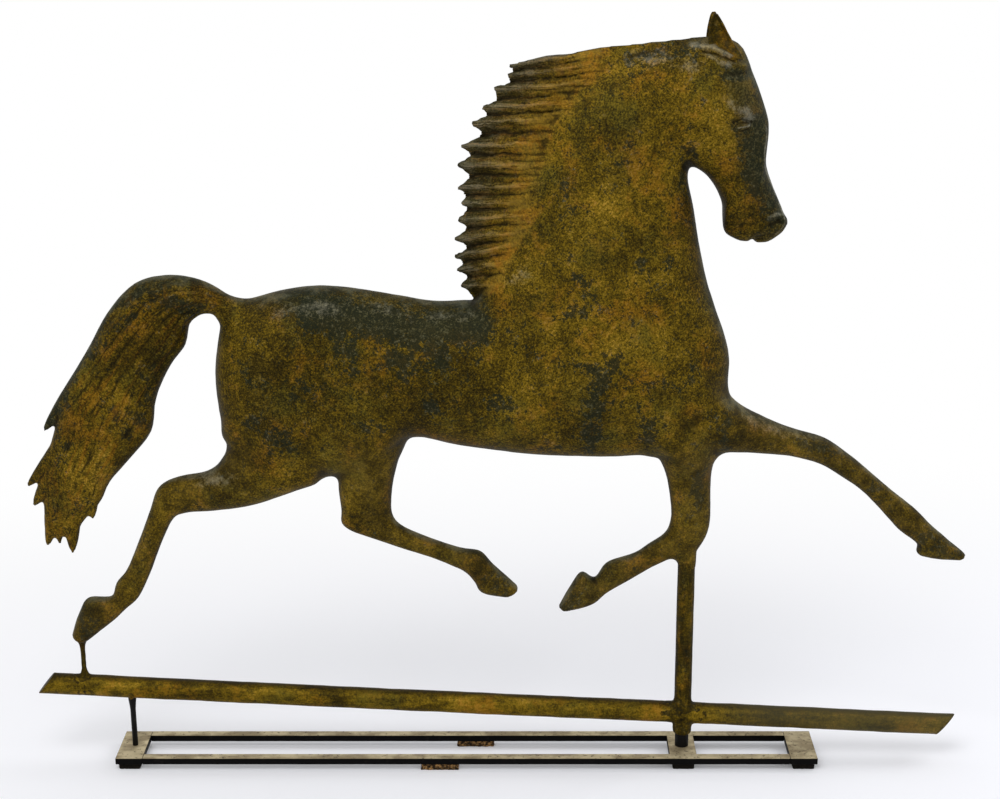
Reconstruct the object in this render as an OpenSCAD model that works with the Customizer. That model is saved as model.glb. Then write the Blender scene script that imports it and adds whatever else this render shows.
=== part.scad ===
// Trotting horse weathervane of moulded sheet copper on a flat bar display stand.
// Millimetres, +Z up. The origin is where the turning axis meets the floor.
// The horse faces +X. Its right side faces -Y.

/* [Horse] */
// Length of the horse from its reaching hoof to its tail tips
horse_l = 858; // [700:1:1000]
// Thickness of the barrel across both half shells
barrel_t = 84; // [70:1:100]
// Thickness of a leg at the cannon
cannon_t = 18; // [15:0.5:24]
// Thickness of the copper sheet
sheet_t = 1; // [0.8:0.1:1.5]
// How far the two trailing and reaching legs stand off the middle plane
leg_spread = 10; // [0:1:16]

/* [Mane and tail] */
// Number of locks along the back of the mane
lock_count = 14; // [8:1:16]
// Depth of the notches between the locks
lock_depth = 9; // [4:0.5:12]
// Height of the waves across the locks
lock_wave = 2; // [0.5:0.25:3]
// Length of the points at the end of the tail
tail_point = 14; // [6:1:24]

/* [Ears] */
// Height of an ear
ear_h = 21; // [14:1:28]
// How far each ear leans out at its tip
ear_lean = 3; // [0:0.5:6]

/* [Rod] */
// Outer diameter of the long rod
rod_od = 20; // [18:0.5:24]
// Wall of the long rod
rod_wall = 1.2; // [0.8:0.1:2]
// Reach of the rod behind the hoof strut
rod_tail = 37; // [20:1:80]
// Reach of the rod ahead of the turning axis
rod_front = 250; // [150:1:320]
// Slope of the rod down towards the front
rod_tilt = 3; // [1:0.25:3.5]
// Slant of the end cuts from square
rod_cut = 36; // [0:1:45]
// Thickness of the end caps
cap_t = 1; // [0.6:0.1:2]

/* [Spindle tube] */
// Outer diameter of the spindle tube
tube_od = 16; // [15:0.25:17]
// Bore of the spindle tube
tube_id = 13; // [12.5:0.1:13.6]
// Length of the tube below the rod
stub_l = 10; // [6:0.5:14]
// Height of the tube's closed top above the rod's axis
tube_rise = 250; // [180:1:300]
// Thickness of the plug that closes the top of the tube
plug_t = 8; // [5:0.5:12]
// Width of the solder fillets around the tube
fillet_r = 4; // [2:0.5:6]

/* [Hoof strut] */
// Diameter of the strut
strut_d = 4.5; // [3:0.25:5]
// Width of the solder fillet at the foot of the strut
strut_fillet = 4; // [2:0.5:5]

/* [Post] */
// Diameter of the steel pin
pin_d = 9.5; // [8:0.1:10]
// Clearance between the pin and its sleeve, on the radius
pin_clear = 0.05; // [0.03:0.01:0.1]
// Clearance between the sleeve and the tube, on the radius
sleeve_clear = 0.1; // [0.05:0.01:0.1]
// Thickness of the sleeve's closed top
sleeve_top = 3; // [2:0.5:6]
// Gap between the sleeve and the cross plate
sleeve_gap = 0.3; // [0.3:0.1:1]

/* [Stand] */
// Reach of the stand ahead of the turning axis
stand_front = 125.5; // [80:0.5:200]
// Depth of the stand from front to back
stand_d = 55; // [45:1:120]
// Width of the two long rails
rail_w = 9.5; // [8:0.5:14]
// Thickness of the flat bar
bar_t = 6.35; // [5:0.05:8]
// Width of the end plates and the cross plate
plate_w = 25.4; // [22:0.1:32]
// Clear space between the floor and the rod's axis at the turning axis
rod_z = 46.7; // [44:0.1:60]

/* [Rear prop] */
// Distance of the prop ahead of the hoof strut
prop_step = 42.5; // [30:0.5:60]
// Diameter of the prop
prop_d = 4.8; // [4:0.1:7]
// Diameter of its flared head
prop_head_d = 7.6; // [7:0.1:9]
// Height of its flared head
prop_head_h = 12; // [8:0.5:16]
// Gap between the prop and the rod
prop_gap = 0.3; // [0.3:0.05:0.6]

/* [Pads] */
// Thickness of the pads under the stand
pad_h = 6; // [3:0.5:8]
// Width of the pads under the end plates and the cross plate
plate_pad_w = 24; // [16:1:25]
// Length of the cork pads under the rails
rail_pad_l = 36; // [20:1:50]
// Place of the front rail's cork pad behind the turning axis
front_pad_x = 229; // [150:1:300]
// Place of the back rail's cork pad behind the turning axis
back_pad_x = 196; // [150:1:300]

/* [Hidden] */

$fn = 48;
gilt = "darkgoldenrod";
steel = [0.35, 0.33, 0.3];
black = [0.1, 0.1, 0.1];
right = -1;
left = 1;
big = 4000;

// The outlines are drawn at this length, with the rod's axis this far above the floor
drawn_l = 858;
drawn_rod_z = 46.7;
// The leg rows below give their half thickness for a cannon of this thickness
drawn_cannon_t = 18;
grow = horse_l / drawn_l;
barrel = barrel_t / 2;
limb = cannon_t / drawn_cannon_t;

// Steps across a half section and between two drawn rows
body_steps = 10;
leg_steps = 8;
mane_steps = 3;
ear_steps = 4;
row_steps = 2;
mane_row_steps = 6;

// Rows of the body from the tail round the rump, belly, chest and throat to the nose.
// Each row is [back or crest edge, belly or throat edge, share of the barrel, first angle, last angle].
// A half section runs from 0 to 180 degrees, and it stops short where a leg or the mane joins on.
body_rows = [
    [[-392, 450], [-418, 428], 0.34, 0, 180],
    [[-364, 457], [-425, 385], 0.74, 0, 180],
    [[-335, 461], [-422, 340], 0.93, 0, 180],
    [[-312, 461], [-418, 317], 0.98, 0, 180],
    [[-285, 458], [-367, 301], 1.00, 0, 138],
    [[-258, 453], [-318, 287], 1.00, 0, 180],
    [[-238, 449], [-284, 305], 1.00, 0, 140],
    [[-220, 446], [-252, 323], 0.98, 0, 180],
    [[-204, 446], [-205, 316], 0.98, 0, 180],
    [[-191, 452], [-142, 308], 1.00, 0, 180],
    [[-178, 468], [-80, 305], 1.00, 20, 180],
    [[-167, 484], [-28, 305], 1.00, 28, 180],
    [[-159, 498], [-2, 303], 1.00, 30, 145],
    [[-152, 515], [23, 303], 1.00, 30, 180],
    [[-147, 530], [35, 309], 1.00, 30, 180],
    [[-141, 546], [36, 335], 0.98, 30, 145],
    [[-135, 564], [34, 361], 0.95, 30, 180],
    [[-128, 585], [28.5, 402], 0.90, 30, 180],
    [[-114, 612], [13, 460], 0.80, 30, 180],
    [[-82, 645], [0, 518], 0.66, 28, 180],
    [[-34, 664], [-9, 563], 0.58, 22, 180],
    [[4, 677], [5, 562], 0.60, 0, 180],
    [[30, 672], [21, 538], 0.62, 0, 180],
    [[44, 645], [24, 514], 0.55, 0, 180],
    [[58, 606], [36, 503], 0.43, 0, 180],
    [[58, 570], [50, 502], 0.37, 0, 180],
    [[72, 534], [61, 501], 0.31, 0, 180],
    [[79, 517], [72, 508], 0.15, 0, 180]
];
// Rows where the legs and the mane join the body
left_hind_join = [3, 5];
right_hind_join = [5, 7];
right_fore_join = [11, 13];
left_fore_join = [14, 16];
mane_join = [9, 21];
// The mane's locks end at this row, and a smooth crest runs on to the poll
lock_end = 18;

// Tips of the mane at each body row from the withers to the poll
mane_edge = [
    [-204, 463], [-206, 478], [-208, 492], [-208, 511], [-205, 531], [-205, 549], [-205, 568],
    [-199, 590], [-183, 619], [-161, 656], [-100, 667], [-38, 674], [4, 680]
];
// Half thickness of the mane at its tips
mane_tip_t = 2.5;
// Share of the mane's section that a wall of one millimetre takes
mane_wall = 0.12;
// Most of the mane's reach that a notch takes, and that stays solid beyond the hollow
lock_reach = 0.5;
hollow_reach = 0.6;
// An ear's root on the head, its foot, and its rows: [rear edge, front edge, depth of the cup].
// The second number of each edge is a share of the ear's height.
ear_join = [21, 22];
ear_foot = [14, 677];
ear_rows = [[[-10, 0.45], [5, 0.4], 3.5], [[-6, 0.75], [1, 0.72], 2.5], [[-3.5, 1], [-0.5, 0.97], 1]];

// Leg rows run down the leg: [rear or lower edge, front or upper edge, half thickness].
left_hind_rows = [
    [[-424, 301], [-352, 273], 24], [[-439, 289], [-394, 258], 19],
    [[-463, 284], [-432, 252], 15], [[-482, 274], [-458, 250], 13.5],
    [[-492, 250], [-474, 239], 11], [[-514, 197], [-497, 186], 9],
    [[-527, 178], [-509, 165], 10], [[-536, 165], [-521, 154], 9.5],
    [[-554, 163], [-534, 141], 11], [[-563, 151], [-547, 129], 12],
    [[-572, 127], [-560, 120], 10]
];
right_hind_rows = [
    [[-318, 273], [-265, 294], 21], [[-316, 253], [-271, 265], 17],
    [[-314, 239], [-270, 248], 14], [[-285, 227], [-259, 237], 11.5],
    [[-237, 210], [-231, 225], 9.5], [[-215, 201], [-208, 217], 10],
    [[-203, 194], [-190, 214], 11], [[-195, 184], [-180, 203], 10.5],
    [[-189, 174], [-167, 190], 12], [[-167, 170], [-155, 178], 9]
];
right_fore_rows = [
    [[-21, 284], [20, 286], 15], [[-16, 260], [19, 264], 13],
    [[-15, 244], [20, 240], 12.5], [[-20, 229], [15, 222], 12.5],
    [[-34, 219], [2, 206], 11.5], [[-48, 210], [-24, 199], 10],
    [[-84, 188], [-68, 171], 9],
    [[-98, 188], [-86, 160], 10.5], [[-108, 173], [-99, 154], 11.5],
    [[-117, 155], [-111, 151], 8]
];
left_fore_rows = [
    [[60, 306], [52, 345], 18], [[90, 302], [86, 329], 14],
    [[118, 293], [121, 317], 12], [[138, 280], [143, 301], 11],
    [[162, 262], [171, 277], 9], [[194, 228], [208, 247], 9.5],
    [[210, 215], [224, 231], 9], [[215, 202], [239, 218], 11],
    [[251, 198], [258, 202], 7]
];
// Tail rows run from the dock to the points, with their half thickness
tail_rows = [
    [[-410, 454], [-424, 437], 12], [[-433, 467], [-435, 437], 14],
    [[-462, 472], [-446, 428], 17], [[-492, 465], [-451, 409], 19],
    [[-517, 439], [-465, 388], 20], [[-540, 401], [-479, 358], 20],
    [[-566, 363], [-486, 328], 19], [[-577, 329], [-507, 302], 17],
    [[-598, 280], [-530, 274], 14], [[-591, 254], [-542, 250], 9],
    [[-587, 231], [-552, 237], 5]
];

stand_top = pad_h + bar_t;
tube_top = rod_z + tube_rise;
post_top = tube_top - plug_t - sleeve_top;
sleeve_od = tube_id - 2 * sleeve_clear;
rod_reach = rod_od / 2 / cos(rod_tilt);
tube_bottom = rod_z - rod_reach - stub_l;

// Place of a drawn point on the middle plane
function on_plane(p) = [grow * p[0], 0, rod_z + grow * (p[1] - drawn_rod_z)];

// The rear hoof's sole, which the strut carries
sole_rear = on_plane(left_hind_rows[len(left_hind_rows) - 1][0]);
sole_front = on_plane(left_hind_rows[len(left_hind_rows) - 1][1]);
sole_tilt = atan2(sole_rear[2] - sole_front[2], sole_front[0] - sole_rear[0]);
strut_x = -(sole_rear[0] + 2 * sole_front[0]) / 3;
prop_x = strut_x - prop_step;
rod_rear = strut_x + rod_tail;
stand_rear = prop_x + plate_w / 2;

// Half section from point a to point b, bulging to one side by t. The inner skin has inset above 0.
function section(a, b, t, first, last, steps, side, off, inset) =
    let (dir = (b - a) / norm(b - a), span = cos(first) - cos(last))
    [for (j = [0 : steps])
        let (ang = first + (last - first) * j / steps)
        a + (b - a) * (cos(first) - cos(ang)) / span + inset * cos(ang) * dir
            + [0, off + side * (t - inset) * sin(ang), 0]];

// Smooth rows through the drawn rows
function curve(p0, p1, p2, p3, t) =
    0.5 * (2 * p1 + (p2 - p0) * t + (2 * p0 - 5 * p1 + 4 * p2 - p3) * t * t
        + (3 * p1 - p0 - 3 * p2 + p3) * t * t * t);
function curve_at(rows, u) =
    let (n = len(rows) - 1, i = min(floor(u), n - 1))
    curve(rows[max(i - 1, 0)], rows[i], rows[i + 1], rows[min(i + 2, n)], u - i);
function loft(rows, steps) = [for (k = [0 : (len(rows) - 1) * steps]) curve_at(rows, k / steps)];

// Point at share t of the way along a list of points
function along(list, t) =
    let (f = t * (len(list) - 1), i = min(floor(f), len(list) - 2))
    list[i] + (list[i + 1] - list[i]) * (f - i);
function resample(list, steps) = [for (j = [0 : steps]) along(list, j / steps)];

// A half shell keeps to its own side of the middle plane, also where the smooth rows swing past it
function body_skin(side, inset) =
    let (skin = loft([for (r = body_rows)
        section(on_plane(r[0]), on_plane(r[1]), r[2] * barrel, r[3], r[4], body_steps, side, 0, inset)],
        row_steps))
    [for (row = skin) [for (p = row) [p[0], side * max(0, side * p[1]), p[2]]]];

// Edge of a skin between two drawn rows: column 0 is the back, the last column the belly
function skin_edge(skin, join, column) =
    [for (i = [join[0] * row_steps : join[1] * row_steps]) skin[i][column]];

// A leg starts on the body's own edge, so that the two sheets meet there
function leg_skin(rows, join, side, spread, inset) =
    let (root = skin_edge(body_skin(side, 0), join, body_steps), n = len(rows))
    let (middle = (root[0] + root[len(root) - 1]) / 2)
    loft(concat(
        [[for (p = resample(root, leg_steps)) p + inset * (middle - p) / norm(middle - p)]],
        [for (i = [0 : n - 1])
            section(on_plane(rows[i][0]), on_plane(rows[i][1]), rows[i][2] * limb, 0, 180,
                leg_steps, side, spread * min(1, (i + 1) / 4), inset)]
    ), row_steps);

function tail_skin(side, inset) =
    let (root = resample(body_skin(side, inset)[0], body_steps), n = len(tail_rows))
    let (plain = loft(concat([root],
        [for (r = tail_rows)
            section(on_plane(r[0]), on_plane(r[1]), r[2], 0, 180, body_steps, side, 0, inset)]),
        row_steps))
    [for (i = [0 : len(plain) - 1])
        inset > 0 || i < len(plain) - 2 ? plain[i]
            : [for (j = [0 : body_steps])
                plain[i][j] - (j % 2 == 1 || j == 0 || j == body_steps ? 0
                    : tail_point * (i - len(plain) + 3) / 2) * tail_run()]];

// Direction back up the tail near its points
function tail_run() = let (n = len(tail_rows) - 1, d = on_plane(tail_rows[n - 2][1]) - on_plane(tail_rows[n][1]))
    d / norm(d);

// The mane starts on the neck's crest edge and ends in a row of pointed locks.
// Its inner skin has no waves and is drawn in towards the middle of the section.
function mane_skin(side, inset) =
    let (hidden = inset > 0, root = skin_edge(body_skin(side, 0), mane_join, 0))
    let (locks = lock_end - mane_join[0], last = mane_join[1] - mane_join[0])
    let (places = concat(
        [for (i = [0 : locks * mane_row_steps]) i / mane_row_steps],
        [for (i = [1 : (last - locks) * row_steps]) locks + i / row_steps]))
    [for (u = places)
        let (from = along(root, u / last), to = on_plane(curve_at(mane_edge, u)))
        let (reach = to - [from[0], 0, from[2]], rise = on_plane(curve_at(mane_edge, u + 0.1)) - to)
        let (inward = [rise[2], 0, -rise[0]] / norm(rise))
        let (wave = hidden ? 0 : u > locks ? 1 : (1 + cos(360 * (lock_count - 1) * u / locks)) / 2)
        let (depth = hidden ? min(lock_depth + inset, hollow_reach * norm(reach))
            : min(lock_depth * (1 - wave), lock_reach * norm(reach)))
        let (tip = to + depth * inward, middle = (from + tip - [0, from[1], 0]) / 2)
        let (ridge = hidden ? mane_tip_t / 2 : mane_tip_t + lock_wave * wave)
        [for (j = [0 : mane_steps])
            let (t = j / mane_steps, p = from + (tip - from) * t)
            let (y = j == mane_steps ? 0 : j == 0 ? from[1] : from[1] * (1 - t) + side * ridge * t)
            middle + (1 - inset * mane_wall) * ([p[0], y, p[2]] - middle)]];

// An ear is a cupped leaf that starts on the top of the head
function ear_skin(side, inset) =
    let (head = body_skin(side, 0), foot = on_plane(ear_foot))
    let (root = resample(skin_edge(head, ear_join, 1), ear_steps))
    let (lift = [0, -side * inset, inset], off = root[0][1])
    loft(concat(
        [[for (p = root) p + lift]],
        [for (r = ear_rows)
            section(foot + [r[0][0], 0, r[0][1] * ear_h], foot + [r[1][0], 0, r[1][1] * ear_h],
                r[2], 0, 180, ear_steps, side, off + side * (ear_lean * r[0][1] - inset), inset)]
    ), row_steps);

// Closed sheet between an outer and an inner skin. A closed end is capped across.
// Its facing, right or left, turns all its faces outwards.
module sheet(outer, inner, facing, capped) {
    n = len(outer) - 1;
    m = len(outer[0]) - 1;
    count = (n + 1) * (m + 1);
    back = [for (i = [0 : n]) capped && i == n ? inner[n] + 0.4 * (inner[n - 1] - inner[n]) : inner[i]];
    points = concat([for (r = outer) each r], [for (r = back) each r]);
    function o(i, j) = i * (m + 1) + j;
    function q(i, j) = count + i * (m + 1) + j;
    function quad(a, b, c, d) = [[a, b, c], [a, c, d]];
    skins = [for (i = [0 : n - 1], j = [0 : m - 1]) each concat(
        quad(o(i, j), o(i, j + 1), o(i + 1, j + 1), o(i + 1, j)),
        quad(q(i, j), q(i + 1, j), q(i + 1, j + 1), q(i, j + 1)))];
    seams = [for (i = [0 : n - 1]) each concat(
        quad(o(i, 0), o(i + 1, 0), q(i + 1, 0), q(i, 0)),
        quad(o(i + 1, m), o(i, m), q(i, m), q(i + 1, m)))];
    root = [for (j = [0 : m - 1]) each quad(o(0, j + 1), o(0, j), q(0, j), q(0, j + 1))];
    tip = capped
        ? concat(
            [for (j = [1 : m - 1]) [o(n, 0), o(n, j), o(n, j + 1)]],
            [for (j = [1 : m - 1]) [q(n, 0), q(n, j + 1), q(n, j)]],
            quad(o(n, m), q(n, m), q(n, 0), o(n, 0)))
        : [for (j = [0 : m - 1]) each quad(o(n, j), o(n, j + 1), q(n, j + 1), q(n, j))];
    all = concat(skins, seams, root, tip);
    polyhedron(points, [for (f = all) facing == right ? f : [f[2], f[1], f[0]]]);
}

module body_half(side) {
    color(gilt) sheet(body_skin(side, 0), body_skin(side, sheet_t), -side, true);
}

module mane_half(side) {
    color(gilt) sheet(mane_skin(side, 0), mane_skin(side, sheet_t), side, false);
}

module tail_half(side) {
    color(gilt) sheet(tail_skin(side, 0), tail_skin(side, sheet_t), side, false);
}

module leg_half(rows, join, side, spread) {
    color(gilt) sheet(leg_skin(rows, join, side, spread, 0),
        leg_skin(rows, join, side, spread, sheet_t), side, true);
}

module right_foreleg_half(side) {
    color(gilt) difference() {
        leg_half(right_fore_rows, right_fore_join, side, 0);
        cylinder(d = tube_od, h = tube_top + 1);
    }
}

// Cylinder along the rod's axis between two slanted cuts
module rod_blank(d, from, to) {
    lean = d * tan(rod_cut);
    translate([0, 0, rod_z]) rotate([0, rod_tilt, 0]) intersection() {
        rotate([0, 90, 0]) cylinder(d = d, h = big, center = true);
        rotate([90, 0, 0]) linear_extrude(height = 2 * d, center = true)
            polygon([[from - lean, -d], [to - lean, -d], [to + lean, d], [from + lean, d]]);
    }
}

module rod() {
    color(gilt) difference() {
        rod_blank(rod_od, cap_t - rod_rear, rod_front - cap_t);
        rod_blank(rod_od - 2 * rod_wall, -rod_rear, rod_front);
        cylinder(d = tube_od, h = 2 * rod_z);
    }
}

module rod_cap_rear() {
    color(gilt) rod_blank(rod_od, -rod_rear, cap_t - rod_rear);
}

module rod_cap_front() {
    color(gilt) rod_blank(rod_od, rod_front - cap_t, rod_front);
}

module spindle_tube() {
    color(gilt) translate([0, 0, tube_bottom]) difference() {
        cylinder(d = tube_od, h = tube_top - tube_bottom);
        translate([0, 0, -1]) cylinder(d = tube_id, h = tube_top - tube_bottom + 2);
    }
}

module tube_plug() {
    color(gilt) translate([0, 0, tube_top - plug_t]) cylinder(d = tube_id, h = plug_t);
}

// Hollow-faced ring of solder around an upright of diameter d, growing up from height 0
module fillet_ring(d, w, depth) {
    rotate_extrude() difference() {
        translate([d / 2, -depth]) square([w, w + depth]);
        translate([d / 2 + w, w]) circle(r = w);
    }
}

module tube_solder() {
    color(gilt) difference() {
        union() {
            translate([0, 0, rod_z + rod_reach]) fillet_ring(tube_od, fillet_r, fillet_r);
            translate([0, 0, rod_z - rod_reach]) mirror([0, 0, 1])
                fillet_ring(tube_od, fillet_r, fillet_r);
        }
        rod_blank(rod_od, -rod_rear, rod_front);
    }
}

module hoof_strut() {
    foot = rod_z + strut_x * tan(rod_tilt);
    color(gilt) difference() {
        translate([-strut_x, 0, foot]) cylinder(d = strut_d, h = sole_rear[2] - foot);
        rod_blank(rod_od, -rod_rear, rod_front);
        translate(sole_front) rotate([0, sole_tilt, 0]) translate([-big / 2, -big / 2, 0]) cube(big);
    }
}

module strut_solder() {
    foot = rod_z + rod_reach + strut_x * tan(rod_tilt);
    color(gilt) difference() {
        translate([-strut_x, 0, foot]) fillet_ring(strut_d, strut_fillet, strut_fillet);
        rod_blank(rod_od, -rod_rear, rod_front);
    }
}

module post_sleeve() {
    color(black) difference() {
        translate([0, 0, stand_top + sleeve_gap])
            cylinder(d = sleeve_od, h = post_top + sleeve_top - stand_top - sleeve_gap);
        cylinder(d = pin_d + 2 * pin_clear, h = post_top);
    }
}

module post_pin() {
    color(steel) translate([0, 0, pad_h]) cylinder(d = pin_d, h = post_top - pad_h);
}

module bar(from, to, y, w) {
    translate([from, y - w / 2, pad_h]) cube([to - from, w, bar_t]);
}

module cross_plate() {
    color(steel) difference() {
        bar(-plate_w / 2, plate_w / 2, 0, stand_d - 2 * rail_w);
        cylinder(d = pin_d, h = 2 * stand_top);
    }
}

module rail(y) {
    color(steel) bar(plate_w - stand_rear, stand_front - plate_w, y, rail_w);
}

module rear_end_plate() {
    color(steel) difference() {
        bar(-stand_rear, plate_w - stand_rear, 0, stand_d);
        translate([-prop_x, 0, 0]) cylinder(d = prop_d, h = 2 * stand_top);
    }
}

module front_end_plate() {
    color(steel) bar(stand_front - plate_w, stand_front, 0, stand_d);
}

module rear_prop() {
    top = rod_z - rod_reach + prop_x * tan(rod_tilt) - prop_gap - prop_head_d / 2 * tan(rod_tilt);
    color(black) translate([-prop_x, 0, 0]) {
        translate([0, 0, pad_h]) cylinder(d = prop_d, h = top - prop_head_h - pad_h);
        translate([0, 0, top - prop_head_h]) cylinder(d1 = prop_d, d2 = prop_head_d, h = prop_head_h);
    }
}

module plate_pads() {
    color("saddlebrown")
        for (x = [plate_w / 2 - stand_rear, 0, stand_front - plate_w / 2])
            translate([x, 0, pad_h / 2]) cube([plate_pad_w, stand_d, pad_h], center = true);
}

module rail_pads() {
    color("peru") for (p = [[-front_pad_x, right], [-back_pad_x, left]])
        translate([p[0], p[1] * (stand_d - rail_w) / 2, pad_h / 2])
            cube([rail_pad_l, rail_w, pad_h], center = true);
}

module ear(side) {
    color(gilt) sheet(ear_skin(side, 0), ear_skin(side, sheet_t), -side, false);
}

body_half(right);  // body_right
body_half(left);  // body_left
mane_half(right);  // mane_right
mane_half(left);  // mane_left
tail_half(right);  // tail_right
tail_half(left);  // tail_left
ear(right);  // ear_right
ear(left);  // ear_left
right_foreleg_half(right);  // right_foreleg_outer
right_foreleg_half(left);  // right_foreleg_inner
leg_half(left_fore_rows, left_fore_join, left, leg_spread);  // left_foreleg_outer
leg_half(left_fore_rows, left_fore_join, right, leg_spread);  // left_foreleg_inner
leg_half(right_hind_rows, right_hind_join, right, -leg_spread);  // right_hind_leg_outer
leg_half(right_hind_rows, right_hind_join, left, -leg_spread);  // right_hind_leg_inner
leg_half(left_hind_rows, left_hind_join, left, 0);  // left_hind_leg_outer
leg_half(left_hind_rows, left_hind_join, right, 0);  // left_hind_leg_inner
spindle_tube();
tube_plug();
tube_solder();
rod();
rod_cap_rear();
rod_cap_front();
hoof_strut();
strut_solder();
post_sleeve();
post_pin();
cross_plate();
rail(-(stand_d - rail_w) / 2);  // front_rail
rail((stand_d - rail_w) / 2);  // back_rail
rear_end_plate();
front_end_plate();
rear_prop();
plate_pads();
rail_pads();
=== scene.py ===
# %% [markdown]
# A trotting horse weathervane on its display stand.
#
# The real horse is pressed from thin sheet copper in two halves, soldered along the outline, gilded,
# and worn by the weather to a mottled ochre. It stands on a tube rod, and a spindle tube lets it turn
# on a pin. The construction is loaded first and stays fixed, and every piece below is made around it.

# %% Load the fixed construction
import math

import bmesh
import bpy
import numpy as np
from mathutils import Matrix, Vector, noise


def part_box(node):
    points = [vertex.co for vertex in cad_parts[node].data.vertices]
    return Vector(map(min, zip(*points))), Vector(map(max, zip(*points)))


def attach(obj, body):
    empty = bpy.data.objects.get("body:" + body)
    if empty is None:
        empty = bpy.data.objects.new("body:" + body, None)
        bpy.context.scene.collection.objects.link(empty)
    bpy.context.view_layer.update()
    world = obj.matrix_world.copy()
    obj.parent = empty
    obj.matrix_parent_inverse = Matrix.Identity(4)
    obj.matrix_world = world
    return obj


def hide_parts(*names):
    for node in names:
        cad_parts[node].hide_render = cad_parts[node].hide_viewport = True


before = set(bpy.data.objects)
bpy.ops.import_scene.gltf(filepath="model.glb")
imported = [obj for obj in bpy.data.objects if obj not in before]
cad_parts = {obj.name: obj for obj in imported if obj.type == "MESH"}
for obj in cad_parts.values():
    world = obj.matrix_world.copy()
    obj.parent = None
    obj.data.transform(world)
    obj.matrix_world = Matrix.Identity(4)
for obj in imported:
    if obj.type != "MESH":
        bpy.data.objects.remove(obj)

MM = 0.001
scene = bpy.context.scene
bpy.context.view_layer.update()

# %% [markdown]
# The camera could be set by eye. Here its place, its turn and its lens come from matching the corners
# of the flat bar stand, so that the model and the photograph overlap.

# %% Camera
frame_width = 1000
focal_length = 1857.465
camera_at = Vector((-157.378, -1586.466, 860.630)) * MM
pitch, yaw, roll = (math.radians(angle) for angle in (17.609, 0.499, -0.244))

ahead = Vector((-math.sin(yaw) * math.cos(pitch), math.cos(yaw) * math.cos(pitch), -math.sin(pitch)))
level = Vector((math.cos(yaw), math.sin(yaw), 0))
upright = level.cross(ahead)
sideways = math.cos(roll) * level + math.sin(roll) * upright
upward = math.cos(roll) * upright - math.sin(roll) * level

lens = bpy.data.cameras.new("camera")
lens.sensor_width = 36
lens.lens = focal_length * lens.sensor_width / frame_width
camera = bpy.data.objects.new("camera", lens)
camera_turn = Matrix((sideways, upward, -ahead)).transposed()
camera.matrix_world = Matrix.Translation(camera_at) @ camera_turn.to_4x4()
scene.collection.objects.link(camera)
scene.camera = camera
print("lens", round(lens.lens, 2), "mm")

# %% [markdown]
# The horse could be carved from one block, or drawn as a flat outline and thickened. A pressed horse is
# closer to a row of ellipses: each one runs from the back to the belly, or from the front of a leg to
# its rear, and has its own thickness. Each row below is [back or rear, belly or front, half thickness],
# with the two ends drawn on the middle plane in millimetres.

# %% Rows of the body, from the tail to the nose
BARREL = 41.2
# A fourth and a fifth number keep the ellipse only from one angle to another, where the mane or a leg
# takes over its edge.
body_rows = [
    [(-392, 450), (-418, 428), 0.34], [(-364, 457), (-425, 385), 0.74],
    [(-335, 461), (-422, 340), 0.93], [(-312, 461), (-418, 317), 0.98],
    [(-285, 458), (-367, 301), 1.00, 0, 138], [(-258, 453), (-318, 287), 1.00],
    [(-238, 449), (-284, 305), 1.00, 0, 140], [(-220, 447.5), (-252, 323), 0.98],
    [(-204, 448.5), (-205, 316), 0.98], [(-191, 453.5), (-142, 308), 1.00],
    [(-178, 468), (-80, 305), 1.00, 20, 180], [(-167, 484), (-28, 305), 1.00, 28, 180],
    [(-159, 498), (-2, 303), 1.00, 30, 145], [(-152, 515), (23, 303), 1.00, 30, 180],
    [(-147, 530), (35, 309), 1.00, 30, 180], [(-141, 546), (37, 335), 0.98, 30, 145],
    [(-135, 564), (36, 361), 0.95, 30, 180], [(-128, 585), (31, 402), 0.90, 30, 180],
    [(-114, 612), (13, 460), 0.80, 30, 180], [(-82, 645), (-1.5, 518), 0.66, 28, 180],
    [(-34, 664), (-9, 563), 0.58, 22, 180], [(4, 677), (5, 562), 0.60],
    [(31, 672), (21, 538), 0.62], [(45, 645), (24, 514), 0.55],
    [(59, 606), (36, 503), 0.43], [(58, 570), (50, 502), 0.37],
    [(72, 534), (61, 501), 0.31], [(79, 517), (72, 508), 0.15],
]


def whole_row(back, belly, share, first=0, last=180):
    """One row with its ellipse carried on to its full length."""
    back, belly = np.array(back, float), np.array(belly, float)
    first, last = math.cos(math.radians(first)), math.cos(math.radians(last))
    reach = (belly - back) / (first - last)
    return [*(back - reach * (1 - first)), *(back + reach * (1 + first)), share * BARREL, 0]


body = [whole_row(*row) for row in body_rows]
print(len(body), "rows of the body")

# %% [markdown]
# Each leg starts with two rows inside the body, so that it grows out of the thigh or the shoulder.
# Two of the legs stand a little off the middle plane, as the photograph's nearer and farther ones do.

# %% Rows of the legs and the tail
left_hind = [
    [(-421, 372), (-290, 330), 34], [(-418, 317), (-318, 287), 27], [(-424, 301), (-352, 273), 24],
    [(-439, 289), (-394, 258), 19], [(-463, 284), (-432, 252), 15], [(-482, 274), (-458, 250), 13.5],
    [(-492, 250), (-474, 239), 11], [(-514, 197), (-497, 186), 9], [(-527, 180), (-508, 165), 10.5],
    [(-533, 165.5), (-519, 155), 9], [(-554, 165), (-533, 141), 11.5], [(-563, 151), (-547, 129), 12],
    [(-572, 127), (-560, 120), 10],
]
right_hind = [
    [(-338, 352), (-228, 368), 30], [(-318, 287), (-252, 323), 26], [(-318, 273), (-265, 294), 21],
    [(-316, 253), (-271, 265), 17], [(-314, 239), (-270, 248), 14], [(-285, 227), (-259, 237), 11.5],
    [(-237, 210), (-231, 225), 9.5], [(-215, 201), (-208, 217), 10], [(-203, 194), (-190, 214), 11],
    [(-195, 184), (-180, 203), 10.5], [(-189, 174), (-167, 190), 12], [(-167, 170), (-155, 178), 9],
]
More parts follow.
